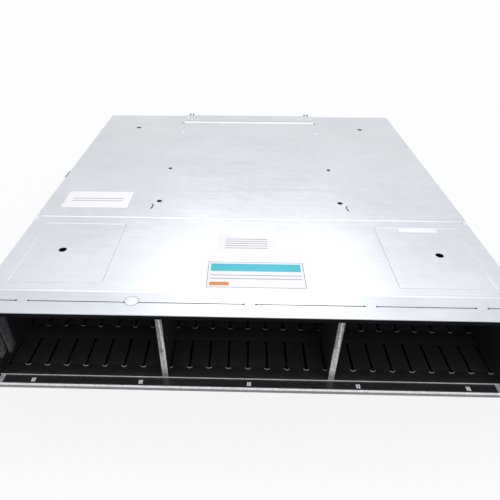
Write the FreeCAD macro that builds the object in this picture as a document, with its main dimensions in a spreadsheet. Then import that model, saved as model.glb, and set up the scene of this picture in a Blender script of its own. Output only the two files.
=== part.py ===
import FreeCAD, Part
import math
import os
import re
import Sketcher

# A 2U rack-mount storage array: a folded steel chassis with three front bays for 24 upright drives,
# a midplane behind them, two stacked controllers in the middle of the rear and a power supply on each side.
# X runs to the right, Y from the front edge of the top to the rear, Z up from the underside. Millimetres.

DRIVES_PER_BAY = 8
SLOT_ROWS = 3
KEYHOLE_ROWS = 2
FAN_BLADES = 7
HEATSINK_FINS = 11
SUPPLY_FANS = 2
HOLE_SIDES = 16
PIN_SIDES = 12
DOT_SIDES = 8

SIZES = [
    # outside of the chassis
    ("width", 447.0, "between the outer faces of the side walls"),
    ("height", 85.0, "underside to the top of the rear cover"),
    ("depth", 497.0, "front edge of the top to the rear face"),
    ("metal", 1.2, "sheet of the base, walls and trays"),
    ("cover", 0.8, "sheet of the header and covers"),
    ("lap", 12.0, "rear cover over the front cover"),
    ("header_lap", 8.0, "front cover over the header"),
    ("flange", 10.0, "inward flange on top of a side wall"),
    ("fit", 0.3, "clearance between a module and its bay"),
    ("pin_fit", 0.1, "clearance between a pin and its bore"),
    # rack ears
    ("ear_reach", 17.8, "ear beyond the side wall"),
    ("ear_metal", 2.0, "sheet of the ear"),
    ("ear_corner", 3.0, "corner radius of the ear"),
    ("rack_span", 465.1, "between the left and right rack slots"),
    ("rack_rise", 44.45, "between the lower and upper rack slots"),
    ("rack_slot_long", 10.3, "length of a rack slot"),
    ("rack_slot_high", 6.8, "height of a rack slot"),
    # top sheets
    ("header_depth", 29.6, "front edge of the front cover"),
    ("seam", 155.0, "front edge of the rear cover"),
    ("header_slot_at", 15.5, "slot line of the header"),
    ("header_slot_wide", 0.9, "slot width"),
    ("header_dot", 2.0, "relief hole at each end of a slot"),
    ("tab_step", 96.5, "bridges between the header slots"),
    ("tab_outer", 184.7, "outer bridges"),
    ("tab_wide", 10.0, "bridge width"),
    ("header_slot_end", 213.0, "end of the outer slots"),
    ("panel_inner", 125.4, "inner edge of a pressed panel"),
    ("panel_outer", 207.7, "outer edge of a pressed panel"),
    ("panel_front", 39.0, "front edge of a pressed panel"),
    ("panel_rear", 141.6, "rear edge of a pressed panel"),
    ("panel_corner", 6.0, "corner radius of a pressed panel"),
    ("panel_deep", 0.5, "depth of a pressed panel"),
    ("panel_slope", 0.9, "width of the pressed slope, front and rear"),
    ("panel_side", 0.5, "width of the pressed slope, left and right"),
    ("panel_hole_x", 176.0, "hole in a pressed panel"),
    ("panel_hole_y", 91.5, "hole in a pressed panel"),
    ("panel_hole", 7.5, "diameter"),
    ("rear_hole_x", 168.8, "hole near the rear corner"),
    ("rear_hole_y", 436.7, "hole near the rear corner"),
    ("rear_hole", 7.0, "diameter"),
    ("tongue_half", 103.0, "half width of the raised tongue over the controllers"),
    ("tongue_at", 462.0, "foot of the tongue's slope"),
    ("tongue_run", 6.0, "run of the tongue's slope"),
    ("tongue_rise", 1.2, "height of the tongue"),
    ("relief", 3.4, "relief hole at each corner of the tongue"),
    ("spring_hole_x", 99.8, "hole ahead of the controllers"),
    ("spring_hole_y", 191.5, "hole ahead of the controllers"),
    ("spring_hole", 6.0, "diameter"),
    ("lance_x", 104.6, "knee of the bent lance beside that hole"),
    ("lance_y", 180.0, "knee of the lance"),
    ("lance_bend", 1.8, "ends of the lance outside its knee"),
    ("lance_rise", 4.3, "knee to the rear end"),
    ("lance_fall", 6.6, "knee to the front end"),
    ("lance_wide", 1.5, "width of the lance"),
    # front bays
    ("lip", 5.0, "front flange ahead of the header's edge"),
    ("floor_level", 6.5, "top of the floor guide"),
    ("ceiling_level", 78.5, "underside of the ceiling guide"),
    ("tray_front", 5.0, "front edge of the guides"),
    ("tray_rear", 168.0, "rear edge of the guides"),
    ("ceiling_lip", 0.6, "front face of the ceiling guide's upturned edge"),
    ("sill_half", 217.5, "half length of the sill"),
    ("sill_rear", 12.0, "rear leg of the sill"),
    ("pitch", 17.7, "between neighbouring drives"),
    ("slot_gap", 7.0, "extra room for a divider in the rows of slots"),
    ("slot_wide", 2.2, "guide slot width"),
    ("slot_head", 4.4, "head of a keyhole"),
    ("slot_start", 19.0, "head of the first slot"),
    ("slot_long", 35.0, "length of a guide slot"),
    ("row_step", 53.5, "between the rows of slots"),
    ("divider_step", 2.7, "divider beyond the last slot of the middle bay"),
    ("divider_wide", 5.2, "divider width"),
    ("divider_front", 5.4, "front face of a divider"),
    ("window_front", 62.0, "first opening in a divider"),
    ("window_step", 32.0, "between the openings"),
    ("window_wide", 18.0, "width of an opening"),
    ("window_low", 18.0, "lower end of an opening"),
    ("window_high", 66.0, "upper end of an opening"),
    # midplane
    ("frame_low", 14.0, "lower edge of the bracket's windows"),
    ("frame_high", 70.0, "upper edge of the bracket's windows"),
    ("frame_margin", 6.0, "bracket beside a window"),
    ("standoff_long", 5.0, "bracket to board"),
    ("standoff_radius", 3.0, "standoff"),
    ("standoff_low", 8.5, "lower row of standoffs"),
    ("standoff_high", 75.5, "upper row of standoffs"),
    ("standoff_x", 208.0, "outer standoffs"),
    ("board", 2.4, "thickness of the midplane board"),
    ("board_half", 214.0, "half length of the midplane board"),
    ("board_low", 4.5, "lower edge of the midplane board"),
    ("board_high", 80.0, "upper edge of the midplane board"),
    ("air_wide", 5.0, "air slot in the midplane board"),
    ("air_low", 20.0, "lower end of an air slot"),
    ("air_high", 64.0, "upper end of an air slot"),
    ("plug_wide", 6.4, "drive connector width"),
    ("plug_deep", 11.0, "drive connector depth"),
    ("plug_low", 21.0, "lower end of a drive connector"),
    ("plug_high", 63.0, "upper end of a drive connector"),
    ("plug_slot", 2.6, "slot of a drive connector"),
    ("plug_rim", 2.0, "wall at the ends of the slot"),
    ("plug_slot_deep", 6.5, "slot depth"),
    ("socket_deep", 10.0, "module connector depth"),
    ("socket_high", 12.0, "module connector height"),
    ("unit_socket_half", 58.0, "half length of a controller connector"),
    ("supply_socket_half", 26.0, "half length of a supply connector"),
    # rear structure
    ("rear_wall", 103.8, "inner face of a rear wall"),
    ("rear_wall_front", 178.0, "front edge of a rear wall"),
    ("rear_flange", 10.0, "top flange of a rear wall"),
    ("shelf_front", 192.0, "front edge of the controller shelf"),
    ("shelf_setback", 6.0, "shelf ends ahead of the rear face"),
    ("shelf_slot_wide", 8.0, "slot in the shelf"),
    ("shelf_slot_long", 60.0, "slot in the shelf"),
    ("shelf_slot_step", 34.0, "between the slots of the shelf"),
    # modules
    ("module_front", 196.0, "front face of the modules"),
    ("module_metal", 1.0, "sheet of the module cases"),
    ("face", 1.5, "faceplate thickness"),
    ("unit_high", 39.0, "controller height"),
    ("post_high", 4.0, "board post height"),
    ("post_radius", 3.0, "board post radius"),
    ("card", 1.6, "thickness of a module board"),
    ("card_gap", 2.0, "board to case wall"),
    ("sink_half", 38.0, "half width of the heat sink"),
    ("sink_front", 300.0, "front edge of the heat sink"),
    ("sink_long", 80.0, "length of the heat sink"),
    ("sink_base", 3.0, "base of the heat sink"),
    ("sink_high", 20.0, "fin height above the board"),
    ("fin", 1.4, "fin thickness"),
    ("port_deep", 18.0, "depth of a port cage"),
    ("port_wall", 0.8, "wall of a port cage"),
    ("port_proud", 0.6, "cage beyond the faceplate"),
    ("wide_port", 22.0, "outer width of a wide port"),
    ("wide_port_high", 11.5, "outer height of a wide port"),
    ("wide_port_at", -78.0, "first wide port"),
    ("wide_port_step", 27.0, "between the wide ports"),
    ("jack", 16.0, "outer width of a jack"),
    ("jack_high", 13.5, "outer height of a jack"),
    ("jack_at", -23.0, "first jack"),
    ("jack_step", 20.0, "between the jacks"),
    ("vent_at", 18.0, "first vent slot"),
    ("vent_step", 7.0, "between vent slots"),
    ("vent_wide", 3.4, "vent slot width"),
    ("vent_low", 7.0, "lower end of a vent slot"),
    ("vent_high", 20.0, "upper end of a vent slot"),
    # ejector levers
    ("hinge_x", 93.0, "lever pivot"),
    ("hinge_out", 5.2, "lever pivot behind the faceplate"),
    ("lever_low", 26.0, "underside of a lever above the module's underside"),
    ("lever_high", 8.0, "lever height"),
    ("lever_boss", 4.6, "radius of the lever's boss"),
    ("lever_pin", 1.6, "pivot pin radius"),
    ("lever_long", 68.0, "pivot to the tip of the lever"),
    ("lever_inner", 1.6, "arm's near face behind the faceplate"),
    ("lever_thick", 3.2, "arm thickness"),
    ("lever_tab", 7.0, "finger tab beyond the arm"),
    ("ear_plate", 1.4, "thickness of a clevis ear"),
    # power supplies
    ("supply_high", 80.0, "supply height"),
    ("fan_first", 29.0, "first fan from the supply's left face"),
    ("fan_step", 43.0, "between the fans"),
    ("fan_up", 55.0, "fan axis above the supply's underside"),
    ("fan_frame", 40.0, "square fan frame"),
    ("fan_deep", 20.0, "fan frame depth"),
    ("fan_bore", 18.5, "radius of the fan opening"),
    ("blade_gap", 1.0, "blade tip to the fan opening"),
    ("fan_hub", 8.0, "hub radius"),
    ("fan_shaft", 1.5, "shaft radius"),
    ("fan_wall", 2.0, "back spider of the frame"),
    ("strut", 3.0, "spider strut width"),
    ("blade_thick", 1.2, "blade thickness"),
    ("blade_run", 8.0, "blade width around the hub"),
    ("rotor_gap", 1.5, "rotor to spider and to guard"),
    ("guard_bar", 1.8, "bar of the fan guard"),
    ("guard_small", 7.6, "inner guard ring"),
    ("guard_large", 13.2, "outer guard ring"),
    ("inlet_at", 24.0, "middle of the inlet from the supply's left face"),
    ("inlet_up", 16.0, "middle of the inlet above the supply's underside"),
    ("inlet_wide", 28.0, "inlet width"),
    ("inlet_tall", 20.4, "inlet height"),
    ("inlet_deep", 22.0, "inlet depth"),
    ("inlet_rim", 1.8, "inlet wall"),
    ("inlet_cavity", 16.0, "depth of the socket"),
    ("blade_pin", 10.0, "length of the socket's pins"),
    ("blade_pin_tall", 4.0, "pin height"),
    ("blade_pin_wide", 2.0, "pin width"),
    ("blade_pin_step", 7.0, "between the pins"),
    ("inlet_proud", 1.0, "inlet rim beyond the faceplate"),
    ("switch_at", 56.0, "middle of the switch from the supply's left face"),
    ("switch_wide", 11.0, "rocker width"),
    ("switch_half", 8.6, "half height of the rocker"),
    ("switch_gap", 1.2, "rocker to its housing"),
    ("switch_wall", 1.4, "housing wall"),
    ("switch_deep", 12.0, "housing depth"),
    ("switch_pivot", 3.2, "pivot behind the faceplate's outer face"),
    ("switch_proud", 3.0, "raised end of the rocker"),
    ("switch_flush", 0.8, "low end of the rocker"),
    ("switch_stub", 1.2, "pivot stub radius"),
    ("handle_at", 104.0, "middle of the handle from the supply's left face"),
    ("handle_wide", 12.0, "handle width"),
    ("handle_low", 16.0, "lower end of the handle"),
    ("handle_top", 72.0, "upper end of the handle"),
    ("handle_out", 24.0, "handle behind the faceplate"),
    ("handle_thick", 3.0, "handle thickness"),
    ("handle_bend", 8.0, "outer bend radius of the handle"),
    ("handle_foot", 9.0, "length of a handle foot"),
    ("latch_at", 84.0, "middle of the latch from the supply's left face"),
    ("latch_thick", 3.0, "latch thickness"),
    ("latch_low", 5.0, "underside of the latch above the supply's underside"),
    ("latch_high", 12.0, "latch height"),
    ("latch_pivot", 24.0, "latch pivot ahead of the rear face"),
    ("latch_boss", 4.2, "radius of the latch's boss"),
    ("latch_pin", 1.8, "pivot post radius"),
    ("latch_out", 15.0, "latch behind the faceplate"),
    ("latch_travel", 4.4, "sideways travel at the faceplate"),
    ("choke_wide", 34.0, "transformer"),
    ("choke_long", 40.0, "transformer"),
    ("choke_high", 34.0, "transformer"),
    ("choke_front", 330.0, "front face of the transformer"),
    ("can_radius", 11.0, "capacitor"),
    ("can_high", 40.0, "capacitor"),
    ("can_front", 270.0, "capacitor row"),
    ("can_step", 30.0, "between the capacitors"),
]

doc = FreeCAD.newDocument("storage_array")
sheet = doc.addObject("Spreadsheet::Sheet", "Sizes")
for number, (alias, size, note) in enumerate(SIZES, start=1):
    sheet.set(f"A{number}", note)
    sheet.set(f"B{number}", str(size))
    sheet.setAlias(f"B{number}", alias)
doc.recompute()

ALIASES = {alias for alias, size, note in SIZES}
WORD = re.compile(r"[A-Za-z_][A-Za-z_0-9]*")
finished = []


def formula(text):
    """Turn a formula in the names of the sheet into one that an object can be bound to."""
    return WORD.sub(lambda word: "Sizes." + word[0] if word[0] in ALIASES else word[0], str(text))


def value(text):
    """The present value of a formula, for the first guess of a sketch."""
    return float(sheet.evalExpression(formula(text)))


def part(label, thing):
    """Keep an object as a finished piece under its name."""
    thing.Label = label
    finished.append(thing)
    return thing


def bind_place(thing, x, y, z):
    for axis, text in zip("xyz", (x, y, z)):
        thing.setExpression(f"Placement.Base.{axis}", formula(text))


def span(low, high):
    return f"(({high}) - ({low}))"


def side(sign, low, high):
    """A range along X on the left (-1) or right (1), given by its distances from the middle."""
    if sign > 0:
        return f"({low})", f"({high})"
    return f"-({high})", f"-({low})"


# Solids of the boolean kind.


def block(x, y, z):
    """A box between three ranges."""
    box = doc.addObject("Part::Box", "block")
    for size, (low, high) in zip(("Length", "Width", "Height"), (x, y, z)):
        box.setExpression(size, formula(span(low, high)))
    bind_place(box, x[0], y[0], z[0])
    return box


TURN = {
    "X": FreeCAD.Rotation(FreeCAD.Vector(0, 1, 0), 90),
    "Y": FreeCAD.Rotation(FreeCAD.Vector(1, 0, 0), -90),
    "Z": FreeCAD.Rotation(),
}


def post(axis, sides, radius, reach, x, y, z):
    """A many-sided post along an axis, with its corners on the radius, starting at its own coordinate."""
    prism = doc.addObject("Part::Prism", "post")
    prism.Polygon = sides
    prism.Placement = FreeCAD.Placement(FreeCAD.Vector(), TURN[axis])
    prism.setExpression("Circumradius", formula(radius))
    prism.setExpression("Height", formula(reach))
    bind_place(prism, x, y, z)
    return prism


def around(sides, radius):
    """The radius of a many-sided tool whose flats lie on a given radius."""
    return f"({radius}) / cos({180 / sides:g})"


def fuse(*pieces):
    union = doc.addObject("Part::MultiFuse", "union")
    union.Shapes = list(pieces)
    union.Refine = True
    return union


def cut(base, *tools):
    result = doc.addObject("Part::Cut", "cut")
    result.Base = base
    result.Tool = tools[0] if len(tools) == 1 else fuse(*tools)
    return result


def group(*pieces):
    """Several separate solids of one node."""
    together = doc.addObject("Part::Compound", "group")
    together.Links = list(pieces)
    return together


# Sketches. Every point, radius and offset is bound to the sheet.

NORMAL = {"XY": "Z", "XZ": "Y", "YZ": "X"}


def pin_point(sketch, geometry, vertex, x, y):
    for kind, text in (("DistanceX", x), ("DistanceY", y)):
        rule = sketch.addConstraint(Sketcher.Constraint(kind, -1, 1, geometry, vertex, value(text)))
        sketch.setExpression(f"Constraints[{rule}]", formula(text))


def pin_radius(sketch, geometry, radius):
    rule = sketch.addConstraint(Sketcher.Constraint("Radius", geometry, value(radius)))
    sketch.setExpression(f"Constraints[{rule}]", formula(radius))


def vector(x, y):
    return FreeCAD.Vector(value(x), value(y), 0)


def polygon(*points):
    def draw(sketch):
        lines = []
        for start, end in zip(points, points[1:] + points[:1]):
            lines.append(sketch.addGeometry(Part.LineSegment(vector(*start), vector(*end))))
        for line, after in zip(lines, lines[1:] + lines[:1]):
            sketch.addConstraint(Sketcher.Constraint("Coincident", line, 2, after, 1))
        for line, start in zip(lines, points):
            pin_point(sketch, line, 1, *start)

    return draw


def rectangle(x, y):
    return polygon((x[0], y[0]), (x[1], y[0]), (x[1], y[1]), (x[0], y[1]))


def many_sided(sides, x, y, radius):
    """A regular outline with its corners on the radius."""
    corners = []
    for number in range(sides):
        turn = 360 * (number + 0.5) / sides
        corners.append((f"({x}) + ({radius}) * cos({turn:g})", f"({y}) + ({radius}) * sin({turn:g})"))
    return polygon(*corners)


def eased(x, y, radius):
    """A rectangle whose corners follow a radius in three steps."""
    corners = []
    centres = (
        (f"({x[1]}) - {radius}", f"({y[0]}) + {radius}", 270),
        (f"({x[1]}) - {radius}", f"({y[1]}) - {radius}", 0),
        (f"({x[0]}) + {radius}", f"({y[1]}) - {radius}", 90),
        (f"({x[0]}) + {radius}", f"({y[0]}) + {radius}", 180),
    )
    for centre_x, centre_y, start in centres:
        for turn in (start, start + 30, start + 60, start + 90):
            corners.append((f"{centre_x} + {radius} * cos({turn})", f"{centre_y} + {radius} * sin({turn})"))
    return polygon(*corners)


def arc(sketch, x, y, radius, start, end):
    """A quarter or half turn about a bound centre, from one angle to another in degrees."""
    full = Part.Circle(vector(x, y), FreeCAD.Vector(0, 0, 1), value(radius))
    bow = sketch.addGeometry(Part.ArcOfCircle(full, math.radians(start), math.radians(end)))
    pin_point(sketch, bow, 3, x, y)
    pin_radius(sketch, bow, radius)
    return bow


def rounded(x, y, radius):
    """A rectangle with four equal round corners."""

    def draw(sketch):
        left, right = f"({x[0]}) + {radius}", f"({x[1]}) - {radius}"
        low, high = f"({y[0]}) + {radius}", f"({y[1]}) - {radius}"
        bows = [
            arc(sketch, right, low, radius, 270, 360),
            arc(sketch, right, high, radius, 0, 90),
            arc(sketch, left, high, radius, 90, 180),
            arc(sketch, left, low, radius, 180, 270),
        ]
        for bow, after in zip(bows, bows[1:] + bows[:1]):
            start = sketch.getPoint(bow, 2)
            end = sketch.getPoint(after, 1)
            line = sketch.addGeometry(Part.LineSegment(start, end))
            sketch.addConstraint(Sketcher.Constraint("Tangent", bow, 2, line, 1))
            sketch.addConstraint(Sketcher.Constraint("Tangent", line, 2, after, 1))

    return draw


def slot(x, y, radius):
    """A slot with round ends along X or Y: the range of its end centres and its half width."""
    along_x = x[0] != x[1]

    def draw(sketch):
        first, second = ((90, 270), (-90, 90)) if along_x else ((180, 360), (0, 180))
        near = arc(sketch, x[0], y[0], radius, *first)
        far = arc(sketch, x[1], y[1], radius, *second)
        for bow, after in ((near, far), (far, near)):
            start = sketch.getPoint(bow, 2)
            end = sketch.getPoint(after, 1)
            line = sketch.addGeometry(Part.LineSegment(start, end))
            sketch.addConstraint(Sketcher.Constraint("Tangent", bow, 2, line, 1))
            sketch.addConstraint(Sketcher.Constraint("Tangent", line, 2, after, 1))

    return draw


def keyhole(x, head, tail):
    """A guide slot with a six-sided head, along Y, in one outline."""
    rise = "slot_head / 2 * 0.866"
    neck = f"{head} + (slot_head - slot_wide) / 2 * 1.732"
    return polygon(
        (f"{x} - slot_wide / 2", neck),
        (f"{x} - slot_head / 2", head),
        (f"{x} - slot_head / 4", f"{head} - {rise}"),
        (f"{x} + slot_head / 4", f"{head} - {rise}"),
        (f"{x} + slot_head / 2", head),
        (f"{x} + slot_wide / 2", neck),
        (f"{x} + slot_wide / 2", tail),
        (f"{x} - slot_wide / 2", tail),
    )


def plain_slot(x, head, tail):
    """A guide slot without a head."""
    return rectangle((f"{x} - slot_wide / 2", f"{x} + slot_wide / 2"), (head, tail))


# Features of a body. Ranges run along the axis that stands on the sketch's plane.


def body(label):
    return part(label, doc.addObject("PartDesign::Body", label))


def axis_of(piece, role):
    return next(feature for feature in piece.Origin.OriginFeatures if feature.Role == role)


def sketch_on(piece, plane, offset, *outlines):
    sketch = piece.newObject("Sketcher::SketchObject", "sketch")
    sketch.AttachmentSupport = [(axis_of(piece, plane + "_Plane"), "")]
    sketch.MapMode = "FlatFace"
    sketch.setExpression("AttachmentOffset.Base.z", formula(offset))
    for outline in outlines:
        outline(sketch)
    return sketch


def pad(piece, plane, reach, *outlines):
    """Add material between two coordinates along the plane's axis."""
    low, high = reach
    offset = f"-({high})" if plane == "XZ" else low
    feature = piece.newObject("PartDesign::Pad", "pad")
    feature.Profile = sketch_on(piece, plane, offset, *outlines)
    feature.setExpression("Length", formula(span(low, high)))
    piece.Tip = feature
    return feature


def pocket(piece, plane, reach, *outlines):
    """Take material away between two coordinates along the plane's axis."""
    low, high = reach
    offset = f"-({low})" if plane == "XZ" else high
    feature = piece.newObject("PartDesign::Pocket", "pocket")
    feature.Profile = sketch_on(piece, plane, offset, *outlines)
    feature.setExpression("Length", formula(span(low, high)))
    piece.Tip = feature
    return feature


def loft(piece, kind, first, second):
    """A sloped pressing between two level outlines, each given as its level and outline."""
    feature = piece.newObject(f"PartDesign::{kind}Loft", "loft")
    feature.Profile = sketch_on(piece, "XY", first[0], first[1])
    feature.Sections = [sketch_on(piece, "XY", second[0], second[1])]
    piece.Tip = feature
    return feature


def row(piece, feature, role, step, count):
    """Repeat a feature along an axis of the body."""
    pattern = piece.newObject("PartDesign::LinearPattern", "row")
    pattern.Originals = [feature]
    pattern.Direction = (axis_of(piece, role), [""])
    pattern.setExpression("Length", formula(f"({step}) * {count - 1}"))
    pattern.Occurrences = count
    piece.Tip = pattern
    return pattern


def ring(piece, feature, role, count):
    """Repeat a feature around an axis of the body."""
    pattern = piece.newObject("PartDesign::PolarPattern", "ring")
    pattern.Originals = [feature]
    pattern.Axis = (axis_of(piece, role), [""])
    pattern.Angle = 360
    pattern.Occurrences = count
    piece.Tip = pattern
    return pattern


# Levels and lines that several pieces share.

HALF = "width / 2"
INSIDE = "(width / 2 - metal)"
REAR_UNDER = "(height - cover)"
FRONT_UNDER = "(height - 2 * cover)"
HEADER_UNDER = "(height - 3 * cover)"
HEADER_REAR = "(header_depth + header_lap)"
FRONT_REAR = "(seam + lap)"
SILL_TOP = "(floor_level - metal)"
DIVIDER = f"({DRIVES_PER_BAY // 2} * pitch + divider_step)"
BOARD_FRONT = "(tray_rear + metal + standoff_long)"
BOARD_REAR = "(tray_rear + metal + standoff_long + board)"
SHELF_LOW = "(metal + fit + unit_high + fit)"
FACE_FRONT = "(depth - face)"
BAYS = (-1, 0, 1)


def slot_line(bay, number):
    """X of one of the slot lines of a bay, counted from its left end."""
    place = number + DRIVES_PER_BAY * (bay + 1) - DRIVES_PER_BAY * 3 // 2
    return f"({place} * pitch + {bay} * slot_gap)"


def first_line(bay):
    """The outer bays have eight slot lines, the middle one nine."""
    return 1 if bay > 0 else 0


def line_count(bay):
    return DRIVES_PER_BAY + 1 if bay == 0 else DRIVES_PER_BAY


def drive_middle(bay, number):
    """X of the middle of a drive, between its two slot lines."""
    place = number + 0.5 + DRIVES_PER_BAY * (bay + 1) - DRIVES_PER_BAY * 3 / 2
    return f"({place} * pitch + {bay} * slot_gap)"


# Base pan with its upturned front flange and two corner tabs.

base = body("base_pan")
pad(base, "XY", ("0", "metal"), rectangle((f"-{HALF}", HALF), ("-lip", "depth")))
pad(base, "XY", ("metal", SILL_TOP), rectangle((f"-{HALF}", HALF), ("-lip", "metal - lip")))
for sign in (-1, 1):
    inner, middle, outer = f"{sign} * sill_half", f"{sign} * ({INSIDE} - fit)", f"{sign} * {HALF}"
    tab = polygon(
        (inner, "metal - lip"),
        (outer, "metal - lip"),
        (outer, "0"),
        (middle, "0"),
        (middle, "tray_front"),
        (inner, "tray_front"),
    )
    pad(base, "XY", (f"{SILL_TOP} - metal", SILL_TOP), tab)

# Sill between the front flange and the floor guide, with a leg down to the base.

sill = body("front_sill")
sill_section = polygon(
    ("metal - lip", f"{SILL_TOP} - metal"),
    ("sill_rear - metal", f"{SILL_TOP} - metal"),
    ("sill_rear - metal", "metal"),
    ("sill_rear", "metal"),
    ("sill_rear", SILL_TOP),
    ("metal - lip", SILL_TOP),
)
pad(sill, "YZ", ("-sill_half", "sill_half"), sill_section)

# Side walls: a stepped top edge under the lapped covers, an inward top flange and the rack ear.

for sign, name in ((-1, "left"), (1, "right")):
    wall = body(f"side_wall_{name}")
    outline = polygon(
        ("0", "metal"),
        ("depth", "metal"),
        ("depth", REAR_UNDER),
        (FRONT_REAR, REAR_UNDER),
        (FRONT_REAR, FRONT_UNDER),
        (HEADER_REAR, FRONT_UNDER),
        (HEADER_REAR, HEADER_UNDER),
        ("0", HEADER_UNDER),
    )
    pad(wall, "YZ", side(sign, INSIDE, HALF), outline)
    shelf_x = side(sign, f"{INSIDE} - flange", INSIDE)
    steps = (
        ("ceiling_lip + metal + fit", HEADER_REAR, HEADER_UNDER),
        (HEADER_REAR, FRONT_REAR, FRONT_UNDER),
        (FRONT_REAR, "depth", REAR_UNDER),
    )
    for front, rear, level in steps:
        pad(wall, "XY", (f"{level} - metal", level), rectangle(shelf_x, (front, rear)))
    ear_x = side(sign, INSIDE, f"{HALF} + ear_reach")
    pad(wall, "XZ", ("0", "ear_metal"), rounded(ear_x, ("metal", HEADER_UNDER), "ear_corner"))
    half_slot = "(rack_slot_long - rack_slot_high) / 2"
    for lift in (-1, 1):
        hole_z = f"height / 2 + {lift} * rack_rise / 2"
        ends = side(sign, f"rack_span / 2 - {half_slot}", f"rack_span / 2 + {half_slot}")
        pocket(wall, "XZ", ("0", "ear_metal"), slot(ends, (hole_z, hole_z), "rack_slot_high / 2"))

# Header over the bays, with a broken line of narrow slots that end in relief holes.

header = body("front_header")
header_z = (HEADER_UNDER, FRONT_UNDER)
pad(header, "XY", header_z, rectangle((f"-{HALF}", HALF), ("0", HEADER_REAR)))
bridges = ("0", "tab_step", "tab_outer")
for sign in (-1, 1):
    for number, bridge in enumerate(bridges):
        start = f"{bridge} + tab_wide / 2"
        stop = "header_slot_end"
        if number < 2:
            stop = f"{bridges[number + 1]} - tab_wide / 2"
        line = ("header_slot_at - header_slot_wide / 2", "header_slot_at + header_slot_wide / 2")
        pocket(header, "XY", header_z, rectangle(side(sign, start, stop), line))
        ends = (f"{sign} * ({start})", f"{sign} * ({stop})")
        dots = [many_sided(DOT_SIDES, end, "header_slot_at", "header_dot / 2") for end in ends]
        pocket(header, "XY", header_z, *dots)

# Front cover with two pressed panels.

front = body("front_cover")
front_z = (FRONT_UNDER, REAR_UNDER)
pad(front, "XY", front_z, rectangle((f"-{HALF}", HALF), ("header_depth", FRONT_REAR)))
for sign in (-1, 1):
    rim = eased(side(sign, "panel_inner", "panel_outer"), ("panel_front", "panel_rear"), "panel_corner")
    dish_x = side(sign, "panel_inner + panel_side", "panel_outer - panel_side")
    dish_y = ("panel_front + panel_slope", "panel_rear - panel_slope")
    dish = eased(dish_x, dish_y, "(panel_corner - panel_slope)")
    loft(front, "Additive", (FRONT_UNDER, rim), (f"{FRONT_UNDER} - panel_deep", dish))
    loft(front, "Subtractive", (REAR_UNDER, rim), (f"{REAR_UNDER} - panel_deep", dish))
    hole = many_sided(HOLE_SIDES, f"{sign} * panel_hole_x", "panel_hole_y", "panel_hole / 2")
    pocket(front, "XY", (f"{FRONT_UNDER} - panel_deep", REAR_UNDER), hole)

# Rear cover with a raised tongue over the controllers, four holes and two bent lances.

rear = body("rear_cover")
rear_z = (REAR_UNDER, "height")
plate = polygon(
    (f"-{HALF}", "seam"),
    (HALF, "seam"),
    (HALF, "depth"),
    ("tongue_half", "depth"),
    ("tongue_half", "tongue_at"),
    ("-tongue_half", "tongue_at"),
    ("-tongue_half", "depth"),
    (f"-{HALF}", "depth"),
)
pad(rear, "XY", rear_z, plate)
tongue = polygon(
    ("tongue_at", REAR_UNDER),
    ("tongue_at", "height"),
    ("tongue_at + tongue_run", "height + tongue_rise"),
    ("depth", "height + tongue_rise"),
    ("depth", f"{REAR_UNDER} + tongue_rise"),
    ("tongue_at + tongue_run", f"{REAR_UNDER} + tongue_rise"),
)
pad(rear, "YZ", ("-tongue_half", "tongue_half"), tongue)
for sign in (-1, 1):
    holes = [
        many_sided(HOLE_SIDES, f"{sign} * rear_hole_x", "rear_hole_y", "rear_hole / 2"),
        many_sided(PIN_SIDES, f"{sign} * spring_hole_x", "spring_hole_y", "spring_hole / 2"),
        many_sided(PIN_SIDES, f"{sign} * tongue_half", "tongue_at", "relief / 2"),
    ]
    for hole in holes:
        pocket(rear, "XY", (REAR_UNDER, "height + tongue_rise"), hole)
    half = "lance_wide / 2"
    knee, end = f"{sign} * lance_x", f"{sign} * (lance_x + lance_bend)"
    low, high = "lance_y - lance_fall", "lance_y + lance_rise"
    lance = polygon(
        (f"{end} - {half}", low),
        (f"{end} + {half}", low),
        (f"{knee} + {half}", "lance_y"),
        (f"{end} + {half}", high),
        (f"{end} - {half}", high),
        (f"{knee} - {half}", "lance_y"),
    )
    pocket(rear, "XY", rear_z, lance)

# Guides: a plate with slots on every slot line, three to a line in the floor, one long one in the ceiling.


def guide_slots(tray, level, outlines_at):
    """Cut the slots of a line, and repeat the line across each bay."""
    for bay in BAYS:
        opening = pocket(tray, "XY", level, *outlines_at(slot_line(bay, first_line(bay))))
        row(tray, opening, "X_Axis", "pitch", line_count(bay))


def floor_slots(x):
    """Keyholes in the first rows, where a drive is hooked in, and a plain slot behind them."""
    heads = [f"slot_start + {number} * row_step" for number in range(SLOT_ROWS)]
    shapes = [keyhole] * KEYHOLE_ROWS + [plain_slot] * (SLOT_ROWS - KEYHOLE_ROWS)
    return [shape(x, head, f"{head} + slot_long") for shape, head in zip(shapes, heads)]


def ceiling_slots(x):
    return [plain_slot(x, "slot_start", f"slot_start + {SLOT_ROWS - 1} * row_step + slot_long")]


TRAY_HALF = f"({INSIDE} - fit)"
floor = body("floor_guide")
floor_z = (SILL_TOP, "floor_level")
pad(floor, "XY", floor_z, rectangle((f"-{TRAY_HALF}", TRAY_HALF), ("tray_front", "tray_rear")))
for sign in (-1, 1):
    foot = rectangle(side(sign, f"{TRAY_HALF} - metal", TRAY_HALF), ("tray_front", "tray_rear"))
    pad(floor, "XY", ("metal", SILL_TOP), foot)
heel = rectangle((f"-{TRAY_HALF}", TRAY_HALF), ("tray_rear - metal", "tray_rear"))
pad(floor, "XY", ("metal", SILL_TOP), heel)
guide_slots(floor, floor_z, floor_slots)

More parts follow.
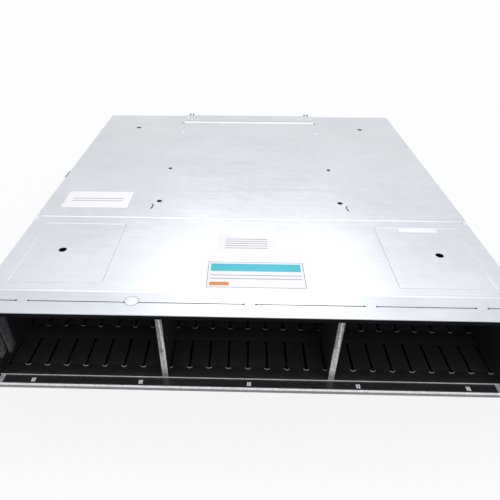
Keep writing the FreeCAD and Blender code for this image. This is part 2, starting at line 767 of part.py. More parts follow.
ceiling = body("ceiling_guide")
ceiling_z = ("ceiling_level", "ceiling_level + metal")
pad(ceiling, "XY", ceiling_z, rectangle((f"-{TRAY_HALF}", TRAY_HALF), ("ceiling_lip", "tray_rear")))
upturn = rectangle((f"-{TRAY_HALF}", TRAY_HALF), ("ceiling_lip", "ceiling_lip + metal"))
pad(ceiling, "XY", ("ceiling_level + metal", HEADER_UNDER), upturn)
guide_slots(ceiling, ceiling_z, ceiling_slots)

# Dividers: a folded channel with openings through both legs.

for sign, name in ((-1, "left"), (1, "right")):
    divider = body(f"divider_{name}")
    middle = f"{sign} * {DIVIDER}"
    outer = "divider_wide / 2"
    inner = "(divider_wide / 2 - metal)"
    rear_edge = "tray_rear"
    channel = polygon(
        (f"{middle} - {outer}", "divider_front"),
        (f"{middle} + {outer}", "divider_front"),
        (f"{middle} + {outer}", rear_edge),
        (f"{middle} + {inner}", rear_edge),
        (f"{middle} + {inner}", "divider_front + metal"),
        (f"{middle} - {inner}", "divider_front + metal"),
        (f"{middle} - {inner}", rear_edge),
        (f"{middle} - {outer}", rear_edge),
    )
    pad(divider, "XY", ("floor_level", "ceiling_level"), channel)
    opening = rectangle(("window_front", "window_front + window_wide"), ("window_low", "window_high"))
    through = (f"{middle} - {outer}", f"{middle} + {outer}")
    first = pocket(divider, "YZ", through, opening)
    row(divider, first, "Y_Axis", "window_step", 3)

# Midplane: a steel bracket with one window per bay, standoffs, and the board with air slots.

bracket = body("midplane_bracket")
bracket_y = ("tray_rear", "tray_rear + metal")
pad(bracket, "XZ", bracket_y, rectangle((f"-{INSIDE}", INSIDE), ("metal", f"{REAR_UNDER} - metal")))
for bay in BAYS:
    if bay == 0:
        window_x = (f"-({DIVIDER} - frame_margin)", f"{DIVIDER} - frame_margin")
    else:
        window_x = side(bay, f"{DIVIDER} + frame_margin", f"{INSIDE} - frame_margin")
    window = rectangle(window_x, ("frame_low", "frame_high"))
    pocket(bracket, "XZ", bracket_y, window)

standoffs = []
for x in ("-standoff_x", f"-{DIVIDER}", DIVIDER, "standoff_x"):
    for z in ("standoff_low", "standoff_high"):
        standoffs.append(post("Y", 6, "standoff_radius", "standoff_long", x, "tray_rear + metal", z))
part("midplane_standoffs", group(*standoffs))

midplane = body("midplane_board")
midplane_y = (BOARD_FRONT, BOARD_REAR)
pad(midplane, "XZ", midplane_y, rectangle(("-board_half", "board_half"), ("board_low", "board_high")))
for bay in BAYS:
    x = slot_line(bay, 1)
    ends = ("air_low", "air_high")
    air_x = (f"{x} - air_wide / 2", f"{x} + air_wide / 2")
    opening = pocket(midplane, "XZ", midplane_y, rectangle(air_x, ends))
    row(midplane, opening, "X_Axis", "pitch", DRIVES_PER_BAY - 1)

# A connector for each drive on the front of the board, with a slot for the drive's edge.

connectors = []
for bay in BAYS:
    for number in range(DRIVES_PER_BAY):
        x = drive_middle(bay, number)
        front_y = f"{BOARD_FRONT} - plug_deep"
        shell = block(
            (f"{x} - plug_wide / 2", f"{x} + plug_wide / 2"),
            (front_y, BOARD_FRONT),
            ("plug_low", "plug_high"),
        )
        groove = block(
            (f"{x} - plug_slot / 2", f"{x} + plug_slot / 2"),
            (front_y, f"{front_y} + plug_slot_deep"),
            ("plug_low + plug_rim", "plug_high - plug_rim"),
        )
        connectors.append(cut(shell, groove))
part("drive_connectors", group(*connectors))

# Rear structure: two walls with an inward top flange, and a slotted shelf between the controllers.

for sign, name in ((-1, "left"), (1, "right")):
    wall = body(f"rear_wall_{name}")
    outline = rectangle(("rear_wall_front", "depth"), ("metal", REAR_UNDER))
    pad(wall, "YZ", side(sign, "rear_wall", "rear_wall + metal"), outline)
    flange_x = side(sign, "rear_wall - rear_flange", "rear_wall")
    flange_y = ("rear_wall_front", "tongue_at - relief")
    flange_z = (f"{REAR_UNDER} - metal", REAR_UNDER)
    pad(wall, "XY", flange_z, rectangle(flange_x, flange_y))
    hole = many_sided(PIN_SIDES, f"{sign} * spring_hole_x", "spring_hole_y", "spring_hole / 2")
    pocket(wall, "XY", flange_z, hole)

shelf = body("controller_shelf")
shelf_z = (SHELF_LOW, f"{SHELF_LOW} + metal")
shelf_y = ("shelf_front", "depth - shelf_setback")
pad(shelf, "XY", shelf_z, rectangle(("-rear_wall", "rear_wall"), shelf_y))
for start in ("shelf_front + 2 * shelf_slot_wide", "shelf_front + 2 * shelf_slot_long + shelf_slot_wide"):
    ends = (start, f"{start} + shelf_slot_long")
    x = ("-2 * shelf_slot_step - shelf_slot_wide / 2", "-2 * shelf_slot_step + shelf_slot_wide / 2")
    opening = pocket(shelf, "XY", shelf_z, rectangle(x, ends))
    row(shelf, opening, "X_Axis", "shelf_slot_step", 5)

# Sockets on the rear of the midplane for the four modules.

UNIT_HALF = "(rear_wall - fit)"
UNIT_FLOORS = (("lower", "(metal + fit)"), ("upper", f"({SHELF_LOW} + metal + fit)"))
SUPPLY_LOW = "(metal + fit)"
SUPPLY_WIDE = "(width / 2 - 2 * metal - rear_wall - 2 * fit)"
SUPPLY_LEFTS = (("left", "(metal + fit - width / 2)"), ("right", "(rear_wall + metal + fit)"))
CARD_LOW = "(module_metal + post_high)"
CARD_TOP = "(module_metal + post_high + card)"

sockets = []
for name, low in UNIT_FLOORS:
    socket_x = ("-unit_socket_half", "unit_socket_half")
    socket_z = (f"{low} + {CARD_TOP}", f"{low} + {CARD_TOP} + socket_high")
    sockets.append(block(socket_x, (BOARD_REAR, f"{BOARD_REAR} + socket_deep"), socket_z))
for name, left in SUPPLY_LEFTS:
    middle = f"({left} + {SUPPLY_WIDE} / 2)"
    socket_x = (f"{middle} - supply_socket_half", f"{middle} + supply_socket_half")
    socket_z = (f"{SUPPLY_LOW} + {CARD_TOP}", f"{SUPPLY_LOW} + {CARD_TOP} + socket_high")
    sockets.append(block(socket_x, (BOARD_REAR, f"{BOARD_REAR} + socket_deep"), socket_z))
part("module_connectors", group(*sockets))

PLUG_FRONT = f"({BOARD_REAR} + socket_deep + fit)"
CARD_FRONT = "(module_front + module_metal + card_gap)"


def card_assembly(left, right, rear, low, plug_half, *extras):
    """A module's board on four posts, with the plug that meets the midplane."""
    posts = []
    for x in (f"({left}) + 3 * card_gap", f"({right}) - 3 * card_gap"):
        for y in (f"{CARD_FRONT} + 3 * card_gap", f"{rear} - port_deep - 3 * card_gap"):
            posts.append(post("Z", 6, "post_radius", "post_high", x, y, f"{low} + module_metal"))
    card_z = (f"{low} + {CARD_LOW}", f"{low} + {CARD_TOP}")
    card = block((left, right), (CARD_FRONT, rear), card_z)
    middle = f"(({left}) + ({right})) / 2"
    plug = block(
        (f"{middle} - {plug_half}", f"{middle} + {plug_half}"),
        (PLUG_FRONT, f"{CARD_FRONT} + 4 * card_gap"),
        (f"{low} + {CARD_TOP}", f"{low} + {CARD_TOP} + socket_high"),
    )
    return group(card, plug, *posts, *extras)


def plug_notch(middle, low, plug_half):
    """The opening in a case's front wall round the plug."""
    return block(
        (f"{middle} - {plug_half} - fit", f"{middle} + {plug_half} + fit"),
        ("module_front", "module_front + module_metal"),
        (f"{low} + {CARD_TOP} - fit", f"{low} + {CARD_TOP} + socket_high + fit"),
    )


def port_cage(x, low, wide, high):
    """A sheet cage round a port, closed at its inner end, standing on the board."""
    base_z = f"{low} + {CARD_TOP}"
    outside = block(
        (f"{x} - {wide} / 2", f"{x} + {wide} / 2"),
        ("depth - port_deep", "depth + port_proud"),
        (base_z, f"{base_z} + {high}"),
    )
    inside = block(
        (f"{x} - {wide} / 2 + port_wall", f"{x} + {wide} / 2 - port_wall"),
        ("depth - port_deep + port_wall", "depth + port_proud"),
        (f"{base_z} + port_wall", f"{base_z} + {high} - port_wall"),
    )
    return cut(outside, inside)


PORTS = []
for number in range(2):
    PORTS.append((f"(wide_port_at + {number} * wide_port_step)", "wide_port", "wide_port_high"))
for number in range(2):
    PORTS.append((f"(jack_at + {number} * jack_step)", "jack", "jack_high"))

# Controllers, one above the other.

for name, low in UNIT_FLOORS:
    case_y = ("module_front", FACE_FRONT)
    lid_low = f"{low} + unit_high - module_metal"
    shell = block((f"-{UNIT_HALF}", UNIT_HALF), case_y, (low, lid_low))
    hollow = block(
        (f"-({UNIT_HALF} - module_metal)", f"{UNIT_HALF} - module_metal"),
        ("module_front + module_metal", FACE_FRONT),
        (f"{low} + module_metal", lid_low),
    )
    notch = plug_notch("0", low, "unit_socket_half")
    part(f"controller_tray_{name}", cut(shell, hollow, notch))

    lid = body(f"controller_lid_{name}")
    lid_z = (lid_low, f"{low} + unit_high")
    pad(lid, "XY", lid_z, rectangle((f"-{UNIT_HALF}", UNIT_HALF), case_y))

    card_half = f"{UNIT_HALF} - module_metal - card_gap"
    card = card_assembly(f"-({card_half})", card_half, f"({FACE_FRONT} - fit)", low, "unit_socket_half")
    part(f"controller_board_{name}", card)

    sink = body(f"controller_heatsink_{name}")
    sink_y = ("sink_front", "sink_front + sink_long")
    sink_low = f"{low} + {CARD_TOP}"
    pad(sink, "XY", (sink_low, f"{sink_low} + sink_base"), rectangle(("-sink_half", "sink_half"), sink_y))
    fin_z = (f"{sink_low} + sink_base", f"{sink_low} + sink_high")
    fin = pad(sink, "XY", fin_z, rectangle(("-sink_half", "fin - sink_half"), sink_y))
    row(sink, fin, "X_Axis", f"(2 * sink_half - fin) / {HEATSINK_FINS - 1}", HEATSINK_FINS)

    face = body(f"controller_faceplate_{name}")
    face_y = (FACE_FRONT, "depth")
    pad(face, "XZ", face_y, rectangle((f"-{UNIT_HALF}", UNIT_HALF), (low, f"{low} + unit_high")))
    for x, wide, high in PORTS:
        port_x = (f"{x} - {wide} / 2 - pin_fit", f"{x} + {wide} / 2 + pin_fit")
        port_z = (f"{low} + {CARD_TOP} - pin_fit", f"{low} + {CARD_TOP} + {high} + pin_fit")
        pocket(face, "XZ", face_y, rectangle(port_x, port_z))
    ends = (f"{low} + vent_low", f"{low} + vent_high")
    vent = pocket(face, "XZ", face_y, rectangle(("vent_at", "vent_at + vent_wide"), ends))
    row(face, vent, "X_Axis", "vent_step", 9)
    lever_low = f"({low} + lever_low)"
    lever_top = f"({low} + lever_low + lever_high)"
    hinge_y = "depth + hinge_out"
    for sign in (-1, 1):
        x = f"{sign} * hinge_x"
        for ear_low in (f"{lever_low} - fit - ear_plate", f"{lever_top} + fit"):
            ear_z = (ear_low, f"{ear_low} + ear_plate")
            tongue = polygon(
                (f"{x} - lever_boss", "depth"),
                (f"{x} + lever_boss", "depth"),
                (f"{x} + lever_boss", hinge_y),
                (f"{x} + lever_boss / 2", f"{hinge_y} + lever_boss"),
                (f"{x} - lever_boss / 2", f"{hinge_y} + lever_boss"),
                (f"{x} - lever_boss", hinge_y),
            )
            pad(face, "XY", ear_z, tongue)

    pins = []
    for sign in (-1, 1):
        pin_long = "lever_high + 2 * fit"
        pin_x, pin_z = f"{sign} * hinge_x", f"{lever_low} - fit"
        pins.append(post("Z", PIN_SIDES, "lever_pin", pin_long, pin_x, hinge_y, pin_z))
    part(f"ejector_pins_{name}", group(*pins))

    part(f"controller_ports_{name}", group(*[port_cage(x, low, wide, high) for x, wide, high in PORTS]))

    for sign, hand in ((-1, "left"), (1, "right")):
        lever = body(f"ejector_{name}_{hand}")
        x = f"{sign} * hinge_x"
        lever_z = (lever_low, lever_top)
        tip = f"{sign} * (hinge_x - lever_long)"
        bend = f"{sign} * (hinge_x - lever_long + lever_tab)"
        near = "depth + lever_inner"
        far = f"{near} + lever_thick"
        pad(lever, "XY", lever_z, many_sided(PIN_SIDES, x, hinge_y, "lever_boss"))
        arm = polygon(
            (x, near),
            (x, far),
            (bend, far),
            (tip, f"{far} + lever_tab"),
            (tip, f"{near} + lever_tab"),
            (bend, near),
        )
        pad(lever, "XY", lever_z, arm)
        bore = around(PIN_SIDES, "lever_pin + pin_fit")
        pocket(lever, "XY", lever_z, many_sided(PIN_SIDES, x, hinge_y, bore))

# Power supplies, one on each side.

for name, left in SUPPLY_LEFTS:
    low = SUPPLY_LOW
    right = f"({left} + {SUPPLY_WIDE})"
    middle = f"({left} + {SUPPLY_WIDE} / 2)"
    top = f"({low} + supply_high)"
    latch_x = f"({left} + latch_at)"
    latch_z = (f"{low} + latch_low", f"{low} + latch_low + latch_high")
    pivot_y = "(depth - latch_pivot)"

    shell = block((left, right), ("module_front", FACE_FRONT), (low, top))
    hollow = block(
        (f"{left} + module_metal", f"{right} - module_metal"),
        ("module_front + module_metal", FACE_FRONT),
        (f"{low} + module_metal", f"{top} - module_metal"),
    )
    notch = plug_notch(middle, low, "supply_socket_half")
    post_z = f"{low} + module_metal"
    seat = post("Z", PIN_SIDES, "latch_boss", "latch_low - module_metal - fit", latch_x, pivot_y, post_z)
    stem_long = "latch_low + latch_high - module_metal + fit"
    stem = post("Z", PIN_SIDES, "latch_pin", stem_long, latch_x, pivot_y, post_z)
    part(f"psu_case_{name}", fuse(cut(shell, hollow, notch), seat, stem))

    face_y = (FACE_FRONT, "depth")
    fan_z = f"({low} + fan_up)"
    fans_x = [f"({left} + fan_first + {number} * fan_step)" for number in range(SUPPLY_FANS)]
    openings = []
    guards = []
    for fan_x in fans_x:
        bore = around(PIN_SIDES, "fan_bore")
        openings.append(post("Y", PIN_SIDES, bore, "face", fan_x, FACE_FRONT, fan_z))
        bar = "guard_bar / 2"
        reach = "fan_bore + guard_bar"
        for across, upward in ((reach, bar), (bar, reach)):
            spoke_x = (f"{fan_x} - ({across})", f"{fan_x} + ({across})")
            guards.append(block(spoke_x, face_y, (f"{fan_z} - ({upward})", f"{fan_z} + ({upward})")))
        for radius in ("guard_small", "guard_large"):
            outer = post("Y", PIN_SIDES, f"{radius} + {bar}", "face", fan_x, FACE_FRONT, fan_z)
            inner = post("Y", PIN_SIDES, f"{radius} - {bar}", "face", fan_x, FACE_FRONT, fan_z)
            guards.append(cut(outer, inner))
    inlet_x = f"({left} + inlet_at)"
    inlet_z = f"({low} + inlet_up)"
    inlet_opening_x = (f"{inlet_x} - inlet_wide / 2 - pin_fit", f"{inlet_x} + inlet_wide / 2 + pin_fit")
    inlet_opening_z = (f"{inlet_z} - inlet_tall / 2 - pin_fit", f"{inlet_z} + inlet_tall / 2 + pin_fit")
    openings.append(block(inlet_opening_x, face_y, inlet_opening_z))
    switch_x = f"({left} + switch_at)"
    well_x = "(switch_wide / 2 + switch_gap)"
    well_z = "(switch_half + switch_gap)"
    switch_opening_x = (f"{switch_x} - {well_x}", f"{switch_x} + {well_x}")
    openings.append(block(switch_opening_x, face_y, (f"{inlet_z} - {well_z}", f"{inlet_z} + {well_z}")))
    latch_near = f"{latch_x} - latch_thick / 2 - fit"
    latch_opening_x = (latch_near, f"{latch_x} + latch_thick / 2 + latch_travel + fit")
    openings.append(block(latch_opening_x, face_y, (f"{latch_z[0]} - fit", f"{latch_z[1]} + fit")))
    plate = cut(block((left, right), face_y, (low, top)), *openings)
    part(f"psu_faceplate_{name}", fuse(plate, *guards))

    # Inlet socket with three flat pins, and the housing of the switch.

    inlet_rear = "depth + inlet_proud"
    inlet_block = block(
        (f"{inlet_x} - inlet_wide / 2", f"{inlet_x} + inlet_wide / 2"),
        (f"{inlet_rear} - inlet_deep", inlet_rear),
        (f"{inlet_z} - inlet_tall / 2", f"{inlet_z} + inlet_tall / 2"),
    )
    inlet_hollow = block(
        (f"{inlet_x} - inlet_wide / 2 + inlet_rim", f"{inlet_x} + inlet_wide / 2 - inlet_rim"),
        (f"{inlet_rear} - inlet_cavity", inlet_rear),
        (f"{inlet_z} - inlet_tall / 2 + inlet_rim", f"{inlet_z} + inlet_tall / 2 - inlet_rim"),
    )
    socket = cut(inlet_block, inlet_hollow)
    prongs = []
    for number in (-1, 0, 1):
        prong_x = f"({inlet_x} + {number} * blade_pin_step)"
        prong_z = f"({inlet_z} + {1 - 2 * abs(number)} * blade_pin_tall / 2)"
        prongs.append(
            block(
                (f"{prong_x} - blade_pin_wide / 2", f"{prong_x} + blade_pin_wide / 2"),
                (f"{inlet_rear} - inlet_cavity", f"{inlet_rear} - inlet_cavity + blade_pin"),
                (f"{prong_z} - blade_pin_tall / 2", f"{prong_z} + blade_pin_tall / 2"),
            )
        )
    housing_outside = block(
        (f"{switch_x} - {well_x} - switch_wall", f"{switch_x} + {well_x} + switch_wall"),
        (f"{FACE_FRONT} - switch_deep", FACE_FRONT),
        (f"{inlet_z} - {well_z} - switch_wall", f"{inlet_z} + {well_z} + switch_wall"),
    )
    housing_inside = block(
        (f"{switch_x} - {well_x}", f"{switch_x} + {well_x}"),
        (f"{FACE_FRONT} - switch_deep + switch_wall", FACE_FRONT),
        (f"{inlet_z} - {well_z}", f"{inlet_z} + {well_z}"),
    )
    stub_y = "(depth - switch_pivot)"
    stub_half = f"({well_x} + switch_wall)"
    stub_round = around(PIN_SIDES, "switch_stub + pin_fit")
    stub_left = f"{switch_x} - {stub_half}"
    stub_bore = post("X", PIN_SIDES, stub_round, f"2 * {stub_half}", stub_left, stub_y, inlet_z)
    housing = cut(housing_outside, housing_inside, stub_bore)
    part(f"psu_inlet_{name}", group(fuse(socket, *prongs), housing))

    rocker = body(f"psu_switch_{name}")
    nose = polygon(
        (f"{stub_y} - switch_flush", f"{inlet_z} - switch_half / 2"),
        (f"depth + switch_flush", f"{inlet_z} - switch_half"),
        (f"depth + switch_flush", f"{inlet_z} - switch_half + switch_flush"),
        ("depth", inlet_z),
        (f"depth + switch_proud", f"{inlet_z} + switch_half - switch_flush"),
        (f"depth + switch_proud - switch_flush", f"{inlet_z} + switch_half"),
        (f"{stub_y} - switch_flush", f"{inlet_z} + switch_half / 2"),
    )
    pad(rocker, "YZ", (f"{switch_x} - switch_wide / 2", f"{switch_x} + switch_wide / 2"), nose)
    stub = many_sided(PIN_SIDES, stub_y, inlet_z, "switch_stub")
    pad(rocker, "YZ", (f"{switch_x} - {stub_half}", f"{switch_x} + {stub_half}"), stub)

    # Fans: a square frame with a three-armed spider and a shaft, and a rotor with pitched blades.

    frames = []
    for number, fan_x in enumerate(fans_x):
        frame_y = (f"{FACE_FRONT} - fan_deep", FACE_FRONT)
        frame_block = block(
            (f"{fan_x} - fan_frame / 2", f"{fan_x} + fan_frame / 2"),
            frame_y,
            (f"{fan_z} - fan_frame / 2", f"{fan_z} + fan_frame / 2"),
        )
        bore = post("Y", PIN_SIDES, around(PIN_SIDES, "fan_bore"), "fan_deep", fan_x, frame_y[0], fan_z)
        cross = block(
            (f"{fan_x} - fan_bore - fan_wall / 2", f"{fan_x} + fan_bore + fan_wall / 2"),
            (frame_y[0], f"{frame_y[0]} + fan_wall"),
            (f"{fan_z} - strut / 2", f"{fan_z} + strut / 2"),
        )
        upright = block(
            (f"{fan_x} - strut / 2", f"{fan_x} + strut / 2"),
            (frame_y[0], f"{frame_y[0]} + fan_wall"),
            (f"{fan_z} - fan_bore - fan_wall / 2", f"{fan_z} + fan_bore + fan_wall / 2"),
        )
        motor = post("Y", PIN_SIDES, "fan_hub", "fan_wall", fan_x, frame_y[0], fan_z)
        shaft = post("Y", PIN_SIDES, "fan_shaft", "fan_deep - rotor_gap", fan_x, frame_y[0], fan_z)
        frames.append(fuse(cut(frame_block, bore), cross, upright, motor, shaft))

        rotor = body(f"psu_fan_{name}_{'ab'[number]}")
        bind_place(rotor, fan_x, FACE_FRONT, fan_z)
        hub_y = ("fan_wall + rotor_gap - fan_deep", "-rotor_gap")
        pad(rotor, "XZ", hub_y, many_sided(2 * FAN_BLADES, "0", "0", "fan_hub"))
        bore = around(PIN_SIDES, "fan_shaft + pin_fit")
        pocket(rotor, "XZ", hub_y, many_sided(PIN_SIDES, "0", "0", bore))
        slant = polygon(
            ("-blade_run / 2", hub_y[0]),
            ("blade_thick - blade_run / 2", hub_y[0]),
            ("blade_run / 2", hub_y[1]),
            ("blade_run / 2 - blade_thick", hub_y[1]),
        )
        tip = "sqrt((fan_bore - blade_gap) * (fan_bore - blade_gap) - blade_run * blade_run / 4)"
        root = "sqrt(fan_hub * fan_hub - blade_run * blade_run / 4) - blade_thick"
        blade = pad(rotor, "XY", (root, tip), slant)
        ring(rotor, blade, "Y_Axis", FAN_BLADES)
    part(f"psu_fan_frames_{name}", group(*frames))

    # Bent strap handle on two feet.

    handle = body(f"psu_handle_{name}")
    handle_x = (f"{left} + handle_at - handle_wide / 2", f"{left} + handle_at + handle_wide / 2")
    outer_y = "(depth + handle_out)"
    inner_y = "(depth + handle_out - handle_thick)"
    low_z = f"({low} + handle_low)"
    top_z = f"({low} + handle_top)"
    cut_in = "handle_bend"
    inset = "(handle_bend - handle_thick / 2)"
    strap = polygon(
        ("depth", f"{low_z} - handle_foot"),
        ("depth + handle_thick", f"{low_z} - handle_foot"),
        ("depth + handle_thick", low_z),
        (f"{outer_y} - {cut_in}", low_z),
        (outer_y, f"{low_z} + {cut_in}"),
        (outer_y, f"{top_z} - {cut_in}"),
        (f"{outer_y} - {cut_in}", top_z),
        ("depth", top_z),
        ("depth", f"{top_z} - handle_thick - handle_foot"),
        ("depth + handle_thick", f"{top_z} - handle_thick - handle_foot"),
        ("depth + handle_thick", f"{top_z} - handle_thick"),
        (f"{inner_y} - {inset} + handle_thick / 2", f"{top_z} - handle_thick"),
        (inner_y, f"{top_z} - {cut_in} - handle_thick / 2"),
        (inner_y, f"{low_z} + {cut_in} + handle_thick / 2"),
        (f"{inner_y} - {inset} + handle_thick / 2", f"{low_z} + handle_thick"),
        ("depth", f"{low_z} + handle_thick"),
    )
    pad(handle, "YZ", handle_x, strap)

    # Latch: a thumb lever through a slot of the faceplate, turning on the case's post.

    latch = body(f"psu_latch_{name}")
    pad(latch, "XY", latch_z, many_sided(PIN_SIDES, latch_x, pivot_y, "latch_boss"))
    stem = polygon(
        (f"{latch_x} - latch_thick / 2", pivot_y),
        (f"{latch_x} + latch_thick / 2", pivot_y),
        (f"{latch_x} + latch_thick / 2", "depth + latch_out"),
        (f"{latch_x} - latch_thick / 2", "depth + latch_out"),
    )
    pad(latch, "XY", latch_z, stem)
    bore = around(PIN_SIDES, "latch_pin + pin_fit")
    pocket(latch, "XY", latch_z, many_sided(PIN_SIDES, latch_x, pivot_y, bore))

    # Board with a transformer and a row of capacitors.

    card_top = f"{low} + {CARD_TOP}"
    choke_left = f"({left} + module_metal + 4 * card_gap)"
    extras = [
        block(
            (choke_left, f"{choke_left} + choke_wide"),
            ("choke_front", "choke_front + choke_long"),
            (card_top, f"{card_top} + choke_high"),
        )
    ]
    for number in range(3):
        can_x = f"{left} + module_metal + 4 * card_gap + can_radius + {number} * can_step"
        extras.append(post("Z", PIN_SIDES, "can_radius", "can_high", can_x, "can_front", card_top))
    card_left = f"({left} + module_metal + card_gap)"
    card_right = f"({right} - module_metal - card_gap)"
    card_rear = f"({pivot_y} - latch_boss - card_gap)"
    card = card_assembly(card_left, card_right, card_rear, low, "supply_socket_half", *extras)
    part(f"psu_board_{name}", card)

doc.recompute()

failed = []
for thing in doc.Objects:
    if "Invalid" in thing.State or "Error" in thing.State:
        failed.append(f"{thing.Label}: {thing.State} {thing.getStatusString()}")
for piece in finished:
    if piece.Shape.isNull() or not piece.Shape.isValid() or not piece.Shape.Solids:
        failed.append(f"{piece.Label}: no valid solid")
if failed:
    raise RuntimeError("; ".join(failed))

os.makedirs("parts", exist_ok=True)
for piece in finished:
    piece.Shape.exportStep(f"parts/{piece.Label}.step")
    box = piece.Shape.BoundBox
    size = f"{box.XLength:.1f} x {box.YLength:.1f} x {box.ZLength:.1f}"
    print(f"{piece.Label}: {len(piece.Shape.Solids)} solid(s), {size}")
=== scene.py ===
# %% [markdown]
# # A rack storage array, dressed around its solids
# The object is a 2U steel chassis: three empty drive bays in front, two stacked controllers and two power
# supplies behind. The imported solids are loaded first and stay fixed. Every piece made here is put on them
# in their own coordinates, so nothing has to be fitted by eye.

# %% Load the fixed frame
import math

import bmesh
import bpy
from mathutils import Matrix, Vector


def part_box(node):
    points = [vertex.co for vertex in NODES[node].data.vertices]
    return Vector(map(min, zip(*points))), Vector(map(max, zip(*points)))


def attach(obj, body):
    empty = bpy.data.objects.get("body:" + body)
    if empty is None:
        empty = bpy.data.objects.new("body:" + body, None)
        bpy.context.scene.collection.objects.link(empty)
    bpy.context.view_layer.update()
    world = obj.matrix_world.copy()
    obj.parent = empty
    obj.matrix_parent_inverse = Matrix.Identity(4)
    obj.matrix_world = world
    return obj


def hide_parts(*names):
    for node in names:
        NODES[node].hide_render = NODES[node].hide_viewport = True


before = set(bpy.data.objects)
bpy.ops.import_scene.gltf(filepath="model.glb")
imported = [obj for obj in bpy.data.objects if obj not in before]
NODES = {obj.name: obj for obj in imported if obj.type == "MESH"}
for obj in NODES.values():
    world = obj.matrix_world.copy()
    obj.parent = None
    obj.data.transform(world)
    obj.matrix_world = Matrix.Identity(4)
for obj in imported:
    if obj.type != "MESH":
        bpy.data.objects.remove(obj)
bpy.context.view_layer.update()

MM = 0.001

# %% [markdown]
# ## Camera
# The picture was taken from in front and above with a wide lens. The place, the tilt and the focal length
# were solved from the rows of slots, the edges of the lid and the seams, whose sizes the solids give. The
# principal point lies off the middle because the picture was cropped, so the camera gets a small shift.

# %% Camera from the solved view
PICTURE = 500
FOCAL, MIDDLE_X, MIDDLE_Y = 453.74, 232.37, 293.96
EYE = Vector((-7.169, -266.164, 314.999)) * MM
PITCH, YAW, ROLL = 0.66575, 0.02488, 0.00198


def view_matrix(eye, pitch, yaw, roll):
    """The matrix of a camera that looks along +Y, turned left by yaw, down by pitch and rolled."""
    right = Vector((math.cos(yaw), math.sin(yaw), 0))
    level = Vector((-math.sin(yaw), math.cos(yaw), 0))
    ahead = level * math.cos(pitch) - Vector((0, 0, math.sin(pitch)))
    upward = level * math.sin(pitch) + Vector((0, 0, math.cos(pitch)))
    side = right * math.cos(roll) + upward * math.sin(roll)
    top = upward * math.cos(roll) - right * math.sin(roll)
    return Matrix.Translation(eye) @ Matrix((side, top, -ahead)).transposed().to_4x4()


lens = bpy.data.cameras.new("photo_lens")
lens.sensor_width = 36
lens.lens = FOCAL / PICTURE * lens.sensor_width
lens.shift_x = (PICTURE / 2 - MIDDLE_X) / PICTURE
lens.shift_y = (MIDDLE_Y - PICTURE / 2) / PICTURE
lens.clip_start = 0.01
camera = bpy.data.objects.new("photo_camera", lens)
camera.matrix_world = view_matrix(EYE, PITCH, YAW, ROLL)
bpy.context.scene.collection.objects.link(camera)
bpy.context.scene.camera = camera
print("focal length", round(lens.lens, 2), "mm, shift", round(lens.shift_x, 4), round(lens.shift_y, 4))

# %% [markdown]
# ## Two small helpers for nodes
# Colours are written as the hex values that a colour picker shows, and shaders want linear light, so one
# function converts them. A second one adds a node, sets it and links it in a single line. Shaders, the
# world and the geometry trees all use it.

# %% Colour and node helpers
def linear(code):
    """An sRGB hex colour as linear red, green, blue and alpha."""
    parts = [int(code[start:start + 2], 16) / 255 for start in (0, 2, 4)]
    return [part / 12.92 if part <= 0.04045 else ((part + 0.055) / 1.055) ** 2.4 for part in parts] + [1.0]


def add(tree, kind, sockets=None, **settings):
    """Add a node: settings are its own choices, sockets are values or the outputs to link."""
    node = tree.nodes.new(kind)
    for name, choice in settings.items():
        setattr(node, name, choice)
    for key, given in (sockets or {}).items():
        if isinstance(given, bpy.types.NodeSocket):
            tree.links.new(given, node.inputs[key])
        else:
            node.inputs[key].default_value = given
    return node


print("grey 808080 is", round(linear("808080")[0], 4), "in linear light")

# %% [markdown]
# ## Stage
# A plain pale table under soft studio light. The table could be a cyclorama, but the camera never sees
# above the horizon, so a large floor and a white world do the same. The world is white for the eye and
# for mirrors, and dimmer for diffuse light. The table does likewise: most of what the eye sees of it is
# plain white, and the rest is lit, so it keeps the shadow. Away from the object the white grows, so the
# table ends without an edge. Two soft boxes hang behind the object, where the front of the lid mirrors
# them, and one hangs above. One in front lights the bays, and mirrors don't show it, so it leaves no
# glare on the metal.

# %% Floor
NEAR_WHITE, FAR_WHITE = 0.68, 0.97
WHITE_FROM, WHITE_TO, WHITE_MIDDLE = 0.45, 1.1, (0.0, 0.25, 0.0)
TABLE_HALF, TABLE_LEVEL = 9.0, -0.0004


def stage_floor(half, level):
    """A square table that the eye sees mostly as plain white, and more so away from the object."""
    mesh = bpy.data.meshes.new("table_top")
    corners = [(-half, -half, level), (half, -half, level), (half, half, level), (-half, half, level)]
    mesh.from_pydata(corners, [], [(0, 1, 2, 3)])
    floor = bpy.data.objects.new("table_top", mesh)
    bpy.context.scene.collection.objects.link(floor)
    paint = bpy.data.materials.new("table_white_laminate")
    paint.use_nodes = True
    tree = paint.node_tree
    tree.nodes.clear()
    rays = add(tree, "ShaderNodeLightPath")
    seen = add(tree, "ShaderNodeMath", {0: rays.outputs["Is Camera Ray"], 1: rays.outputs["Is Glossy Ray"]},
               operation="MAXIMUM")
    where = add(tree, "ShaderNodeTexCoord").outputs["Object"]
    away = add(tree, "ShaderNodeVectorMath", {0: where, 1: WHITE_MIDDLE}, operation="DISTANCE")
    white = add(tree, "ShaderNodeMapRange",
                {0: away.outputs["Value"], 1: WHITE_FROM, 2: WHITE_TO, 3: NEAR_WHITE, 4: FAR_WHITE})
    share = add(tree, "ShaderNodeMath", {0: seen.outputs[0], 1: white.outputs[0]}, operation="MULTIPLY")
    matt = add(tree, "ShaderNodeBsdfDiffuse", {"Color": linear("FFFFFF")})
    bright = add(tree, "ShaderNodeEmission", {"Color": linear("FFFFFF"), "Strength": 1.0})
    both = add(tree, "ShaderNodeMixShader", {0: share.outputs[0], 1: matt.outputs[0], 2: bright.outputs[0]})
    add(tree, "ShaderNodeOutputMaterial", {"Surface": both.outputs[0]})
    mesh.materials.append(paint)


